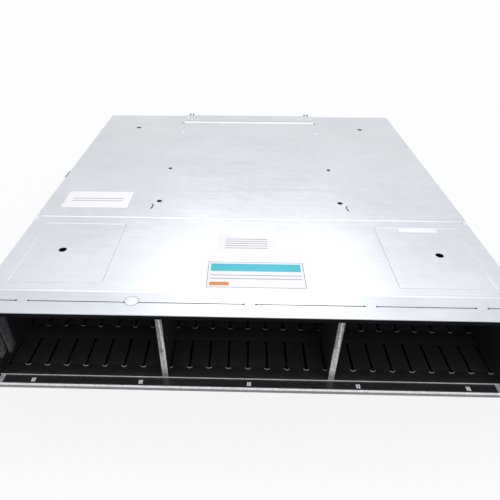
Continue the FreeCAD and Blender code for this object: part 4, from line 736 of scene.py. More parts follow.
def across(line):
    """The place of a line; lines outside the middle bay stand further out by the gap of a divider."""
    if abs(line) <= MIDDLE_BAY:
        return line * PITCH_MM
    return line * PITCH_MM + math.copysign(GAP_MM, line)


def keyhole(x, y):
    """A slot with a round head in front."""
    half = SLOT_WIDE / 2
    open_angle = math.degrees(math.asin(half / HEAD_RADIUS))
    return (bow(x, y, HEAD_RADIUS, 90 + open_angle, 450 - open_angle, 14)
            + bow(x, y + SLOT_LONG - half, half, 0, 180, 6))


def plain_slot(x, y):
    """A slot with two round ends."""
    half = SLOT_WIDE / 2
    return bow(x, y + half, half, 180, 360, 6) + bow(x, y + SLOT_LONG - half, half, 0, 180, 6)


LINES = [across(line) for line in range(-LINE_COUNT, LINE_COUNT + 1)]
HEADS = [(x, FIRST_HEAD + row * ROW_STEP) for x in LINES for row in range(KEYHOLE_ROWS)]
print(len(LINES), "lines from", round(LINES[0], 1), "to", round(LINES[-1], 1), "mm")

# %% Floor guide with its keyholes
PUNCHED_EDGE, FOLDED_EDGE = 0.12, 0.1
tray_low, tray_high = (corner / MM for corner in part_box("floor_guide"))
tray_outlines = [pane(tray_low.x, tray_high.x, tray_low.y, tray_high.y)] + [keyhole(x, y) for x, y in HEADS]
tray_outlines += [plain_slot(x, FIRST_HEAD + KEYHOLE_ROWS * ROW_STEP) for x in LINES]
tray_top = plate(tray_outlines, SHEET, PUNCHED_EDGE, lift=(0, 0, tray_high.z - SHEET / 2))
tray_feet = [plate([pane(tray_low.y, tray_high.y, tray_low.z, tray_high.z - SHEET)], SHEET, FOLDED_EDGE,
                   SIDEWAYS, (side * (tray_high.x - SHEET / 2), 0, 0)) for side in (-1, 1)]
tray_heel = plate([pane(tray_low.x, tray_high.x, tray_low.z, tray_high.z - SHEET)], SHEET, FOLDED_EDGE,
                  UPRIGHT, (0, tray_high.y - SHEET / 2, 0))
tray_parts = joined(tray_top, tray_heel, *tray_feet)
tray = piece("floor_guide_punched", tray_parts, guide_metal, "chassis", "black_sheet", "floor_guide")
print(count(tray), "with", len(HEADS), "keyholes")

# %% [markdown]
# ## Node trees for what repeats
# A tree takes a mesh whose points say where the copies go, with two attributes for the way each one
# faces: `lie` is its upward axis and `along` its long one. The sizes are named inputs. They are set by
# their identifiers before the result is first asked for, then the result becomes a plain mesh and the
# modifier goes.

# %% Helpers for node trees
UP, DOWN, BACK, RIGHT = (0, 0, 1), (0, 0, -1), (0, 1, 0), (1, 0, 0)


def start_tree(name, sizes):
    """A geometry tree with named sizes and a material: the tree, its inputs and a function that closes it."""
    tree = bpy.data.node_groups.new(name, "GeometryNodeTree")
    tree.interface.new_socket("Geometry", in_out="INPUT", socket_type="NodeSocketGeometry")
    for label, size in sizes.items():
        tree.interface.new_socket(label, in_out="INPUT", socket_type="NodeSocketFloat").default_value = size
    tree.interface.new_socket("Material", in_out="INPUT", socket_type="NodeSocketMaterial")
    tree.interface.new_socket("Geometry", in_out="OUTPUT", socket_type="NodeSocketGeometry")
    given = add(tree, "NodeGroupInput").outputs

    def close(shape):
        """End the tree with a real mesh in its material."""
        real = add(tree, "GeometryNodeRealizeInstances", {0: shape})
        coated = add(tree, "GeometryNodeSetMaterial", {0: real.outputs[0], "Material": given["Material"]})
        add(tree, "NodeGroupOutput", {0: coated.outputs[0]})

    return tree, given, close


def spots(places):
    """Seed points in millimetres: (x, y, z, upward axis), and a long axis where it isn't the usual one."""
    mesh = bpy.data.meshes.new("spots")
    mesh.from_pydata([[value * MM for value in place[:3]] for place in places], [], [])
    usual = [place[4] if len(place) > 4 else RIGHT if place[3][2] else UP for place in places]
    for label, axes in (("lie", [place[3] for place in places]), ("along", usual)):
        layer = mesh.attributes.new(label, "FLOAT_VECTOR", "POINT")
        layer.data.foreach_set("vector", [value for axis in axes for value in axis])
    return mesh


def grown(name, seeds, tree, coat, body, slot, **sizes):
    """Run a tree on its seeds and keep the result as a plain mesh on a body."""
    holder = bpy.data.objects.new(name, seeds)
    bpy.context.scene.collection.objects.link(holder)
    modifier = holder.modifiers.new("grow", "NODES")
    modifier.node_group = tree
    for item in tree.interface.items_tree:
        if item.in_out == "INPUT" and item.socket_type == "NodeSocketFloat" and item.name in sizes:
            modifier[item.identifier] = sizes[item.name]
        if item.in_out == "INPUT" and item.socket_type == "NodeSocketMaterial":
            modifier[item.identifier] = coat
    mesh = bpy.data.meshes.new_from_object(holder.evaluated_get(bpy.context.evaluated_depsgraph_get()))
    holder.modifiers.clear()
    bpy.data.objects.remove(holder)
    return piece(name, mesh, None, body, slot)


def facing(tree):
    """The rotation of each seed, from its two axes."""
    lie = add(tree, "GeometryNodeInputNamedAttribute", {"Name": "lie"}, data_type="FLOAT_VECTOR")
    along = add(tree, "GeometryNodeInputNamedAttribute", {"Name": "along"}, data_type="FLOAT_VECTOR")
    axes = {"Primary Axis": lie.outputs[0], "Secondary Axis": along.outputs[0]}
    return add(tree, "FunctionNodeAxesToRotation", axes, primary_axis="Z", secondary_axis="X").outputs[0]


print("node tree helpers ready")

# %% Pale lips of the keyholes, painted as highlights
LIP_START, LIP_SWEEP, LIP_SINK = math.radians(205), math.radians(130), 0.1
tree, given, close = start_tree("keyhole_lip_tree", {"Radius": 2.5 * MM, "Roll": 0.55 * MM})
arc = add(tree, "GeometryNodeCurveArc", {"Resolution": 9, "Radius": given["Radius"],
                                         "Start Angle": LIP_START, "Sweep Angle": LIP_SWEEP})
roll = add(tree, "GeometryNodeCurvePrimitiveCircle", {"Resolution": 8, "Radius": given["Roll"]})
lip = add(tree, "GeometryNodeCurveToMesh", {0: arc.outputs[0], 1: roll.outputs[0], "Fill Caps": True})
copies = add(tree, "GeometryNodeInstanceOnPoints",
             {"Points": given["Geometry"], "Instance": lip.outputs[0]})
close(copies.outputs[0])
for number, (row, roll_mm) in enumerate((("front", 0.42), ("second", 0.30))):
    seeds = spots([(x, FIRST_HEAD + number * ROW_STEP, tray_high.z - LIP_SINK, UP) for x in LINES[1:]])
    print(count(grown(f"keyhole_lips_{row}", seeds, tree, lip_highlight_steel, "chassis", "bare_sheet",
                      Roll=roll_mm * MM)))

# %% [markdown]
# ## Marks and stickers
# Five white double bars are printed on the sill to help the hand find the bays. Stickers lie on the lid:
# they are thin sheets with eased corners, left blank apart from ruled lines and plain colour fields.

# %% Sill marks
MARK_MIDDLE, MARK_STEP, PRINT = 1.0, 95.8, 0.06
BAR_OUT, BAR_IN, BAR_FRONT, BAR_REAR = 1.75, 0.2, -2.4, 2.0
sill_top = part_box("front_sill")[1].z / MM
bars = []
for number in range(-2, 3):
    x = MARK_MIDDLE + number * MARK_STEP
    bars.append(pane(x - BAR_OUT, x - BAR_IN, BAR_FRONT, BAR_REAR))
    bars.append(pane(x + BAR_IN, x + BAR_OUT, BAR_FRONT, BAR_REAR))
bar_print = plate(bars, PRINT, 0.0, lift=(0, 0, sill_top + PRINT / 2))
marks = piece("sill_marks", bar_print, white_ink, "chassis", "black_sheet")
print(count(marks))

# %% Stickers on the lid
STICKER, STICKER_EDGE, LAYER, PANEL_DEEP = 0.1, 0.02, 0.06, 0.5
HEADER_TOP, FRONT_TOP, TONGUE_TOP = (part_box(node)[1].z / MM
                                     for node in ("front_header", "front_cover", "rear_cover"))
REAR_TOP, PANEL_TOP = TONGUE_TOP - TONGUE_RISE, FRONT_TOP - PANEL_DEEP


def sticker(name, outlines, level, coat=paper, layer=0):
    """A sticker 0.1 mm thick on a level; layers count upwards."""
    sheet = plate(outlines, STICKER, STICKER_EDGE, lift=(0, 0, level + STICKER / 2 + LAYER * layer))
    return piece(name, sheet, coat, "chassis", "zinc")


def ruled(left, right, rows, thick):
    """Straight printed lines."""
    return [pane(left, right, y - thick / 2, y + thick / 2) for y in rows]


stickers = [sticker("rear_label", [pane(-205, -132, 174, 213, 1.0)], REAR_TOP),
            sticker("rear_label_lines", ruled(-197, -140, (190, 195.5), 1.0), REAR_TOP, ink, 1),
            sticker("middle_label", [pane(-31, 25, 93, 120, 1.0)], FRONT_TOP),
            sticker("middle_label_lines", ruled(-23, 17, (98, 102, 106, 110, 114), 0.8), FRONT_TOP, ink, 1),
            sticker("front_label", [pane(-38, 48.6, 35.3, 75.3, 1.5)], FRONT_TOP),
            sticker("front_label_frame", [pane(-37, 47.6, 36.3, 74.3, 1.0),
                                          pane(-36.5, 47.1, 36.8, 73.8, 0.8)], FRONT_TOP, ink, 1),
            sticker("front_label_band", [pane(-34.5, 45.1, 60, 71.5, 0.8)], FRONT_TOP, teal_ink, 1),
            sticker("front_label_tab", [pane(-34.5, -18, 39, 44, 0.8)], FRONT_TOP, orange_ink, 1),
            sticker("front_label_lines", ruled(-34.5, 45.1, (49, 54), 0.8), FRONT_TOP, ink, 1),
            sticker("panel_label", [pane(150, 187.4, 132.6, 140.0, 0.8)], PANEL_TOP),
            sticker("round_label", [disc(-95.7, 17.2, 6.0)], HEADER_TOP),
            sticker("round_label_edge", [disc(-95.7, 17.2, radius) for radius in (6.0, 5.6)], HEADER_TOP,
                    ink, 1)]
print(count(*stickers))

# %% Sticker inside the left bay
RACK_EAR, BARS_LIFT = 17.8, 0.13
wall_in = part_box("side_wall_left")[0].x / MM + RACK_EAR + SHEET
bay_panes = [pane(14, 25.5, 15, 64, 3.0), pane(27.5, 41, 7.6, 64, 4.0)]
bay_sheet = plate(bay_panes, STICKER, STICKER_EDGE, SIDEWAYS, (wall_in + STICKER / 2, 0, 0))
# The bay sticker is painted grey: painted shade of the dark bay.
bay_label = piece("bay_label", bay_sheet, shaded_label_film, "chassis", "black_sheet")
streaks = [pane(y, y + 1.2 + 0.5 * (number % 2), 22 + 5 * (number % 3), 62 - 6 * (number % 2))
           for number, y in enumerate((16, 19.4, 22.5, 30, 33, 37))]
streak_print = plate(streaks, PRINT, 0.0, SIDEWAYS, (wall_in + BARS_LIFT, 0, 0))
bay_bars = piece("bay_label_bars", streak_print, dark_ink, "chassis", "black_sheet")
print(count(bay_label, bay_bars), "at X", round(wall_in, 2))

# %% [markdown]
# ## Rivets, screws and pressed dimples
# The shell is held by blind rivets and cross-recess screws. Each head could be modelled and copied by
# hand, but there are dozens of them on several bodies. So one tree makes a domed head from a short
# cylinder whose rings shrink as they rise, and sets it on every seed. The screw cuts a cross into the
# same head, and every screw is turned by its own seeded angle, as screws stop where they bite.

# %% Tree of a domed head
HEAD_SIDES, HEAD_RINGS = 24, 4


def domed(tree, radius, height, fall):
    """A head on Z = 0 that shrinks as it rises; a fall of 1 would end in a point."""
    post = add(tree, "GeometryNodeMeshCylinder",
               {"Vertices": HEAD_SIDES, "Side Segments": HEAD_RINGS, "Radius": radius, "Depth": height})
    place = add(tree, "GeometryNodeInputPosition").outputs[0]
    level = add(tree, "ShaderNodeSeparateXYZ", {0: place}).outputs["Z"]
    half = add(tree, "ShaderNodeMath", {0: height, 1: 0.5}, operation="MULTIPLY").outputs[0]
    risen = add(tree, "ShaderNodeMath", {0: level, 1: half}, operation="ADD").outputs[0]
    share = add(tree, "ShaderNodeMath", {0: risen, 1: height}, operation="DIVIDE").outputs[0]
    bent = add(tree, "ShaderNodeMath", {0: share, 1: fall}, operation="MULTIPLY").outputs[0]
    square = add(tree, "ShaderNodeMath", {0: bent, 1: 2.0}, operation="POWER").outputs[0]
    rest = add(tree, "ShaderNodeMath", {0: 1.0, 1: square}, operation="SUBTRACT").outputs[0]
    shrink = add(tree, "ShaderNodeMath", {0: rest}, operation="SQRT").outputs[0]
    factor = add(tree, "ShaderNodeCombineXYZ", {0: shrink, 1: shrink, 2: 1.0}).outputs[0]
    drawn_in = add(tree, "ShaderNodeVectorMath", {0: place, 1: factor}, operation="MULTIPLY").outputs[0]
    lift = add(tree, "ShaderNodeCombineXYZ", {2: half}).outputs[0]
    return add(tree, "GeometryNodeSetPosition",
               {0: post.outputs["Mesh"], "Position": drawn_in, "Offset": lift}).outputs[0]


head_tree, given, close = start_tree("domed_head", {"Radius": 2.4 * MM, "Height": 0.9 * MM, "Fall": 0.85})
head = domed(head_tree, given["Radius"], given["Height"], given["Fall"])
copies = add(head_tree, "GeometryNodeInstanceOnPoints",
             {"Points": given["Geometry"], "Instance": head, "Rotation": facing(head_tree)})
close(copies.outputs[0])
print("tree:", head_tree.name)

# %% Tree of a screw with a cross recess
ARM_LONG, ARM_THIN, ARM_DEEP, SCREW_FALL, SCREW_SEED = 1.05, 0.26, 2.0, 0.78, 11
screw_tree, given, close = start_tree("cross_screw",
                                      {"Radius": 2.7 * MM, "Height": 1.1 * MM, "Recess": 0.8 * MM})
head = domed(screw_tree, given["Radius"], given["Height"], SCREW_FALL)
cross = add(screw_tree, "GeometryNodeMeshBoolean", {0: head}, operation="DIFFERENCE")
top = add(screw_tree, "ShaderNodeCombineXYZ", {2: given["Height"]}).outputs[0]
long_arm, deep_arm, thin_arm = (
    add(screw_tree, "ShaderNodeMath", {0: given[label], 1: share}, operation="MULTIPLY").outputs[0]
    for label, share in (("Radius", ARM_LONG), ("Recess", ARM_DEEP), ("Radius", ARM_THIN)))
for aside, upward in ((long_arm, thin_arm), (thin_arm, long_arm)):
    size = add(screw_tree, "ShaderNodeCombineXYZ", {0: aside, 1: upward, 2: deep_arm}).outputs[0]
    arm = add(screw_tree, "GeometryNodeMeshCube", {"Size": size}).outputs["Mesh"]
    raised = add(screw_tree, "GeometryNodeTransform", {0: arm, "Translation": top}).outputs[0]
    screw_tree.links.new(raised, cross.inputs["Mesh 2"])
angle = add(screw_tree, "FunctionNodeRandomValue", {2: 0.0, 3: math.pi / 2, "Seed": SCREW_SEED},
            data_type="FLOAT").outputs[1]
spin = add(screw_tree, "FunctionNodeAxisAngleToRotation", {"Axis": UP, "Angle": angle}).outputs[0]
turned = add(screw_tree, "FunctionNodeRotateRotation", {"Rotation": facing(screw_tree), "Rotate By": spin},
             rotation_space="LOCAL").outputs[0]
copies = add(screw_tree, "GeometryNodeInstanceOnPoints",
             {"Points": given["Geometry"], "Instance": cross.outputs[0], "Rotation": turned})
close(copies.outputs[0])
print("tree:", screw_tree.name)

# %% Fasteners of the chassis
WALL_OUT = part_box("rear_cover")[1].x / MM
SCREW_ROW, RIVET_ROW = (74.0, (60, 130, 220, 340, 460)), (9.0, (40, 150, 260, 370, 480))
LID_RIVET, LID_DIMPLE, TONGUE_DIMPLE = (99.7, 282.0), (99.5, 418.0), (98.8, 485.8)
SIDE_CORE, LID_CORE = 0.72, 0.42


def side_row(level, places):
    """Seeds in a row on both side walls."""
    return [(side * WALL_OUT, y, level, (side, 0, 0)) for side in (-1, 1) for y in places]


def lid_pair(place, level):
    """Two seeds on the lid, left and right of its middle."""
    return [(side * place[0], place[1], level, UP) for side in (-1, 1)]


side_screws, side_rivets = side_row(*SCREW_ROW), side_row(*RIVET_ROW)
lid_rivets = lid_pair(LID_RIVET, REAR_TOP)
dimples = lid_pair(LID_DIMPLE, REAR_TOP) + lid_pair(TONGUE_DIMPLE, REAR_TOP + TONGUE_RISE)
cores = [(x + axis[0] * SIDE_CORE, y, z, axis) for x, y, z, axis in side_rivets]
cores += [(x, y, z + LID_CORE, axis) for x, y, z, axis in lid_rivets]
chassis_fasteners = [grown("side_screws", spots(side_screws), screw_tree, fastener, "chassis", "zinc"),
                     grown("side_rivets", spots(side_rivets), head_tree, fastener, "chassis", "zinc"),
                     grown("lid_rivets", spots(lid_rivets), head_tree, dark_steel_and_shade, "chassis", "zinc",
                           Radius=2.5 * MM, Height=0.6 * MM),
                     grown("rivet_cores", spots(cores), head_tree, dark_steel_and_shade, "chassis", "zinc",
                           Radius=0.9 * MM, Height=0.3 * MM),
                     grown("lid_dimples", spots(dimples), head_tree, galvanised, "chassis", "zinc",
                           Radius=3.6 * MM, Height=0.55 * MM, Fall=0.97)]
print(count(*chassis_fasteners))

# %% [markdown]
# ## Contacts of the drive connectors
# At the back of every bay a row of connectors waits for the drives. Their contacts are stamped springs,
# flashed with gold. They are plain strips, so one tree sets a small block on each seed, and two dozen
# faces would be wasted on them: six are enough at this size.

# %% Tree of a contact strip
strip_tree, given, close = start_tree("contact_strip",
                                      {"Wide": 0.6 * MM, "Long": 9.0 * MM, "High": 0.16 * MM})
size = add(strip_tree, "ShaderNodeCombineXYZ",
           {0: given["Wide"], 1: given["Long"], 2: given["High"]}).outputs[0]
strip = add(strip_tree, "GeometryNodeMeshCube", {"Size": size}).outputs["Mesh"]
copies = add(strip_tree, "GeometryNodeInstanceOnPoints",
             {"Points": given["Geometry"], "Instance": strip, "Rotation": facing(strip_tree)})
close(copies.outputs[0])
print("tree:", strip_tree.name)

# %% Contacts of every drive connector
PLUG_SLOT, PLUG_RIM, CONTACT_STEP, CONTACT_ROOM = 2.6, 2.0, 2.4, 2
CONTACT_SINK, CONTACT_IN, FIRST_CONTACT = 0.05, 3.6, 1.6
plug_low, plug_high = (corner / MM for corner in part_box("drive_connectors"))
plug_rows = int((plug_high.z - plug_low.z - 2 * PLUG_RIM - CONTACT_ROOM) / CONTACT_STEP)
PLUGS = [across(line + 0.5) for line in range(-LINE_COUNT, LINE_COUNT)]
plug_spots = [(x + side * (PLUG_SLOT / 2 - CONTACT_SINK), plug_low.y + CONTACT_IN,
               plug_low.z + PLUG_RIM + FIRST_CONTACT + row * CONTACT_STEP, (-side, 0, 0), UP)
              for x in PLUGS for side in (-1, 1) for row in range(plug_rows)]
plug_contacts = grown("drive_contacts", spots(plug_spots), strip_tree, gold, "chassis", "plug",
                      Wide=1.2 * MM, Long=5.0 * MM, High=0.3 * MM)
print(count(plug_contacts), "on", len(PLUGS), "connectors")

# %% [markdown]
# ## Controllers
# Two controllers slide in above each other. A faceplate is one punched plate with folded ears that carry
# the ejector levers, so it is cut from outlines like a real one, and the ears are added as small plates.
# The ports are sheet cages with a tongue or springs inside.

# %% Soft corners for moulded and cast outlines
SOFT_STEPS = 4


def softened(points, cut, closed=True):
    """Round the corners of a path: each is cut back and bridged by a small curve."""
    path = []
    for number, corner in enumerate(points):
        if not closed and number in (0, len(points) - 1):
            path.append(tuple(corner))
            continue
        middle = Vector(corner)
        before, after = Vector(points[number - 1]), Vector(points[(number + 1) % len(points)])
        start = middle + (before - middle).normalized() * cut
        end = middle + (after - middle).normalized() * cut
        for step in range(SOFT_STEPS + 1):
            share = step / SOFT_STEPS
            path.append(tuple(start * (1 - share) ** 2 + middle * (2 * share * (1 - share))
                              + end * share ** 2))
    return path


def mirrored(outline, side):
    """The outline as drawn for the right hand, or flipped for the left."""
    return [(side * x, y) for x, y in outline]


print("softened square:", len(softened(pane(0, 1, 0, 1), 0.2)), "points")

# %% Openings and ears of a controller faceplate
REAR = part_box("side_wall_left")[1].y / MM
FACE, FACE_EDGE = 1.5, 0.2
FACE_MIDDLE = REAR - FACE / 2
UNITS = {name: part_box(f"controller_tray_{name}")[0].z / MM for name in ("lower", "upper")}
UNIT_HALF, UNIT_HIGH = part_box("controller_tray_lower")[1].x / MM, 39.0
WIDE_PORTS, JACKS = (-78.0, -51.0), (-23.0, -3.0)
PORT_FLOOR, WIDE_SIZE, JACK_SIZE, PORT_FIT = 6.6, (22.0, 11.5), (16.0, 13.5), 0.1
VENT_AT, VENT_STEP, VENT_WIDE, VENT_LOW, VENT_HIGH, VENTS = 18.0, 7.0, 3.4, 7, 20, 9
HINGE_X, HINGE_Y, BOSS = 93.0, REAR + 5.2, 4.6
LEVER_LOW, LEVER_HIGH, EAR, EAR_GAP, EAR_ROOT = 26.0, 8.0, 1.4, 0.3, 0.5


def face_openings(low):
    """The ports and vents of a faceplate."""
    base = low + PORT_FLOOR - PORT_FIT
    ports = [(x, *WIDE_SIZE) for x in WIDE_PORTS] + [(x, *JACK_SIZE) for x in JACKS]
    openings = [pane(x - wide / 2 - PORT_FIT, x + wide / 2 + PORT_FIT, base, base + high + 2 * PORT_FIT,
                     0.5) for x, wide, high in ports]
    for number in range(VENTS):
        left = VENT_AT + number * VENT_STEP
        openings.append(pane(left, left + VENT_WIDE, low + VENT_LOW, low + VENT_HIGH, VENT_WIDE / 2 - 0.05))
    return openings


def ear(x, middle):
    """A round-ended ear that carries a hinge pin."""
    root = REAR - EAR_ROOT
    outline = [(x + BOSS, root)] + bow(x, HINGE_Y, BOSS, 0, 180, 18) + [(x - BOSS, root)]
    return plate([outline], EAR, FACE_EDGE, lift=(0, 0, middle))


print("openings in a faceplate:", len(face_openings(0.0)))

# %% Controller faceplates, cages, lids and trays
for name, low in UNITS.items():
    body = f"controller_{name}"
    outline = pane(-UNIT_HALF, UNIT_HALF, low, low + UNIT_HIGH, 1.0)
    front = plate([outline] + face_openings(low), FACE, FACE_EDGE, UPRIGHT, (0, FACE_MIDDLE, 0))
    ear_middles = (low + LEVER_LOW - EAR_GAP - EAR / 2, low + LEVER_LOW + LEVER_HIGH + EAR_GAP + EAR / 2)
    ears = [ear(side * HINGE_X, middle) for side in (-1, 1) for middle in ear_middles]
    face = piece(f"controller_face_{name}", joined(front, *ears), galvanised, body, "zinc",
                 f"controller_faceplate_{name}")
    heads = [(side * HINGE_X, HINGE_Y, middle + axis[2] * EAR / 2, axis) for side in (-1, 1)
             for middle, axis in zip(ear_middles, (DOWN, UP))]
    pins = grown(f"hinge_heads_{name}", spots(heads), head_tree, fastener, body, "pin",
                 Radius=2.3 * MM, Height=0.7 * MM)
    cages = eased_copy(f"controller_ports_{name}", 0.18, low, nickel, body, "cage", 2, 1.0)
    cover = eased_copy(f"controller_lid_{name}", 0.3, low, galvanised, body, "zinc", 2)
    pan = eased_copy(f"controller_tray_{name}", 0.3, low - 1, galvanised, body, "zinc", 2)
    print(count(face, pins, cages, cover, pan))

# %% Spring posts on the upper ears, whose tops show over the lid
POSTS, POST_OUT, POST_TOP = (90.7, 95.5), 0.3, REAR_TOP + TONGUE_RISE + 0.6
ear_top = UNITS["upper"] + LEVER_LOW + LEVER_HIGH + EAR_GAP + EAR
post_seeds = spots([(side * x, HINGE_Y + POST_OUT, ear_top, UP) for side in (-1, 1) for x in POSTS])
posts = grown("ear_posts", post_seeds, head_tree, dark_steel_and_shade, "controller_upper", "pin", Radius=1.3 * MM,
              Height=(POST_TOP - ear_top) * MM, Fall=0.7)
print(count(posts))

# %% Paddles of the wide ports and blocks of the jacks
PADDLE_HALF, PADDLE_THIN, PADDLE_LONG, PADDLE_Y = 8, 0.7, 11.5, REAR - 10.6
BACK_HALF, BACK_HIGH, BACK_THICK, BACK_Y = 10.15, PORT_FLOOR + 10.65, 3.0, REAR - 15.6
JACK_HALF, JACK_LOW, JACK_HIGH = 7.15, PORT_FLOOR + 0.85, PORT_FLOOR + 12.65
JACK_REAR, MOUTH_DEEP, JACK_BACK, JACK_LAP = REAR - 0.3, 12.7, 4.0, 0.3
CLIP_HALF, CHAMBER_HALF, CLIP_FLOOR, CHAMBER_FLOOR, CHAMBER_TOP = 3.2, 5.9, 2.0, 3.8, 11.2


def jack_mouth(x, low):
    """The mouth of a jack: a wide chamber for the plug over a narrow step for its clip."""
    step, floor, top = (low + PORT_FLOOR + rise for rise in (CLIP_FLOOR, CHAMBER_FLOOR, CHAMBER_TOP))
    return [(x - CLIP_HALF, step), (x + CLIP_HALF, step), (x + CLIP_HALF, floor), (x + CHAMBER_HALF, floor),
            (x + CHAMBER_HALF, top), (x - CHAMBER_HALF, top), (x - CHAMBER_HALF, floor),
            (x - CLIP_HALF, floor)]


def port_insides(low):
    """Paddles and backs of the wide ports."""
    middle = low + PORT_FLOOR + WIDE_SIZE[1] / 2
    low_face, high_face = middle - PADDLE_THIN, middle + PADDLE_THIN
    paddles = [plate([pane(x - PADDLE_HALF, x + PADDLE_HALF, low_face, high_face, 0.3)], PADDLE_LONG, 0.15,
                     UPRIGHT, (0, PADDLE_Y, 0)) for x in WIDE_PORTS]
    backs = [plate([pane(x - BACK_HALF, x + BACK_HALF, low + JACK_LOW, low + BACK_HIGH, 0.4)], BACK_THICK,
                   0.2, UPRIGHT, (0, BACK_Y, 0)) for x in WIDE_PORTS]
    return joined(*paddles, *backs)


def jack_blocks(low):
    """A block with a mouth and a closed back for each jack."""
    blocks = []
    for x in JACKS:
        block = pane(x - JACK_HALF, x + JACK_HALF, low + JACK_LOW, low + JACK_HIGH, 0.4)
        blocks.append(plate([block, jack_mouth(x, low)], MOUTH_DEEP, 0.2, UPRIGHT,
                            (0, JACK_REAR - MOUTH_DEEP / 2, 0)))
        blocks.append(plate([block], JACK_BACK, 0.2, UPRIGHT,
                            (0, JACK_REAR - MOUTH_DEEP - JACK_BACK / 2 + JACK_LAP, 0)))
    return joined(*blocks)


print("ports of a controller:", len(WIDE_PORTS) + len(JACKS))

# %% Inside the ports
FLAT_COUNT, FLAT_STEP, FLAT_Y, FLAT_LIFT = 10, 1.45, REAR - 9.8, 0.72
SPRUNG_COUNT, SPRUNG_STEP, SPRUNG_Y, SPRUNG_RISE, SPRUNG_LEAN = 8, 1.2, REAR - 8.0, 9.6, (0, -0.34, 0.94)
LENS_ASIDE, LENS_RISE = 5, 22.4
# Light pipes: milky polycarbonate, pale and glossy.
milky = speckled("milky_light_pipe", "DDE6DC", 0.30, 0.0, "CFDACF", 1.0, 0.6, 0.01)
for name, low in UNITS.items():
    body = f"controller_{name}"
    middle = low + PORT_FLOOR + WIDE_SIZE[1] / 2
    tongue = piece(f"port_tongues_{name}", port_insides(low), plug_black, body, "plug")
    jack = piece(f"jack_blocks_{name}", jack_blocks(low), plug_black, body, "plug")
    flat = [(x + (number - (FLAT_COUNT - 1) / 2) * FLAT_STEP, FLAT_Y, middle + axis[2] * FLAT_LIFT, axis)
            for x in WIDE_PORTS for number in range(FLAT_COUNT) for axis in (UP, DOWN)]
    sprung = [(x + (number - (SPRUNG_COUNT - 1) / 2) * SPRUNG_STEP, SPRUNG_Y,
               low + PORT_FLOOR + SPRUNG_RISE, SPRUNG_LEAN, RIGHT)
              for x in JACKS for number in range(SPRUNG_COUNT)]
    contacts = grown(f"port_contacts_{name}", spots(flat + sprung), strip_tree, gold, body, "plug")
    lenses = [(x + side * LENS_ASIDE, REAR, low + LENS_RISE, BACK) for x in JACKS for side in (-1, 1)]
    lights = grown(f"status_lenses_{name}", spots(lenses), head_tree, milky, body, "plastic",
                   Radius=1.2 * MM, Height=0.8 * MM, Fall=0.95)
    print(count(tongue, jack, contacts, lights))

# %% [markdown]
# ## Ejector levers
# Each controller has two cast levers that pry it out. A lever is a bar with a round boss at its pin and a
# bent finger tab under a terracotta cap. It has the same section all along its height, so it is a thick
# plate with eased edges. Ribs on the cap keep the finger from slipping.

# %% Outlines of a lever and its cap
ARM_NEAR, ARM_FAR, BEND_X, TIP_X, TAB = REAR + 1.6, REAR + 4.8, 32.0, 25.0, 7.0
PIN_BORE, CAP_GROW, LEVER_EDGE, CAP_EDGE = 1.7, 0.5, 0.4, 0.3
near_angle = 180 + math.degrees(math.asin((HINGE_Y - ARM_NEAR) / BOSS))
far_angle = 540 + math.degrees(math.asin((HINGE_Y - ARM_FAR) / BOSS))
boss = bow(HINGE_X, HINGE_Y, BOSS, near_angle, far_angle, 30)
arm = [boss[-1], (BEND_X, ARM_FAR), (TIP_X, ARM_FAR + TAB), (TIP_X, ARM_NEAR + TAB), (BEND_X, ARM_NEAR),
       boss[0]]
lever_outline = boss[:-1] + softened(arm, 1.2, closed=False)[:-1]
cap_outline = [(BEND_X - 1.8, ARM_FAR + 2.5), (TIP_X, ARM_FAR + TAB + 0.7),
               (TIP_X - CAP_GROW, ARM_FAR + TAB + 0.4), (TIP_X - CAP_GROW, ARM_NEAR + TAB - 0.2),
               (BEND_X - 2.5, ARM_NEAR + 1.8)]
print("points of a lever:", len(lever_outline), "and of its cap:", len(cap_outline))

# %% Tree of a grip rib
rib_tree, given, close = start_tree("grip_rib", {"Radius": 0.45 * MM, "Long": 7.0 * MM})
rib = add(rib_tree, "GeometryNodeMeshCylinder",
          {"Vertices": 10, "Radius": given["Radius"], "Depth": given["Long"]})
copies = add(rib_tree, "GeometryNodeInstanceOnPoints",
             {"Points": given["Geometry"], "Instance": rib.outputs["Mesh"], "Rotation": facing(rib_tree)})
close(copies.outputs[0])
print("tree:", rib_tree.name)

# %% Levers, caps and ribs
RIBS, RIB_FIRST, RIB_STEP = 4, 0.18, 0.2
rib_start, rib_end = Vector(cap_outline[0]), Vector(cap_outline[1])
along_cap = [rib_start.lerp(rib_end, RIB_FIRST + RIB_STEP * number) for number in range(RIBS)]
for name, low in UNITS.items():
    middle = low + LEVER_LOW + LEVER_HIGH / 2
    for side, hand in ((-1, "left"), (1, "right")):
        body = f"lever_{name}_{hand}"
        outlines = [mirrored(lever_outline, side), disc(side * HINGE_X, HINGE_Y, PIN_BORE, 20)]
        bar = plate(outlines, LEVER_HIGH, LEVER_EDGE, lift=(0, 0, middle))
        lever = piece(f"lever_bar_{name}_{hand}", bar, lever_grey, body, "lever", f"ejector_{name}_{hand}")
        shell = plate([mirrored(softened(cap_outline, 0.3), side)], LEVER_HIGH + CAP_GROW, CAP_EDGE,
                      lift=(0, 0, middle))
        cap = piece(f"lever_cap_{name}_{hand}", shell, touch_clay, body, "touch")
        seeds = spots([(side * place.x, place.y, middle, UP) for place in along_cap])
        ribs = grown(f"lever_ribs_{name}_{hand}", seeds, rib_tree, touch_clay, body, "touch")
        print(count(lever, cap, ribs))

# %% [markdown]
# ## Power supplies
# A supply is a folded box with a punched rear plate: two fan guards, a mains inlet, a switch, a handle
# and a thumb latch. The guard is what is left between rows of openings, so the openings are drawn, as
# rings cut by a cross. Nothing is plugged into the inlet, and its three blades stand free inside it.

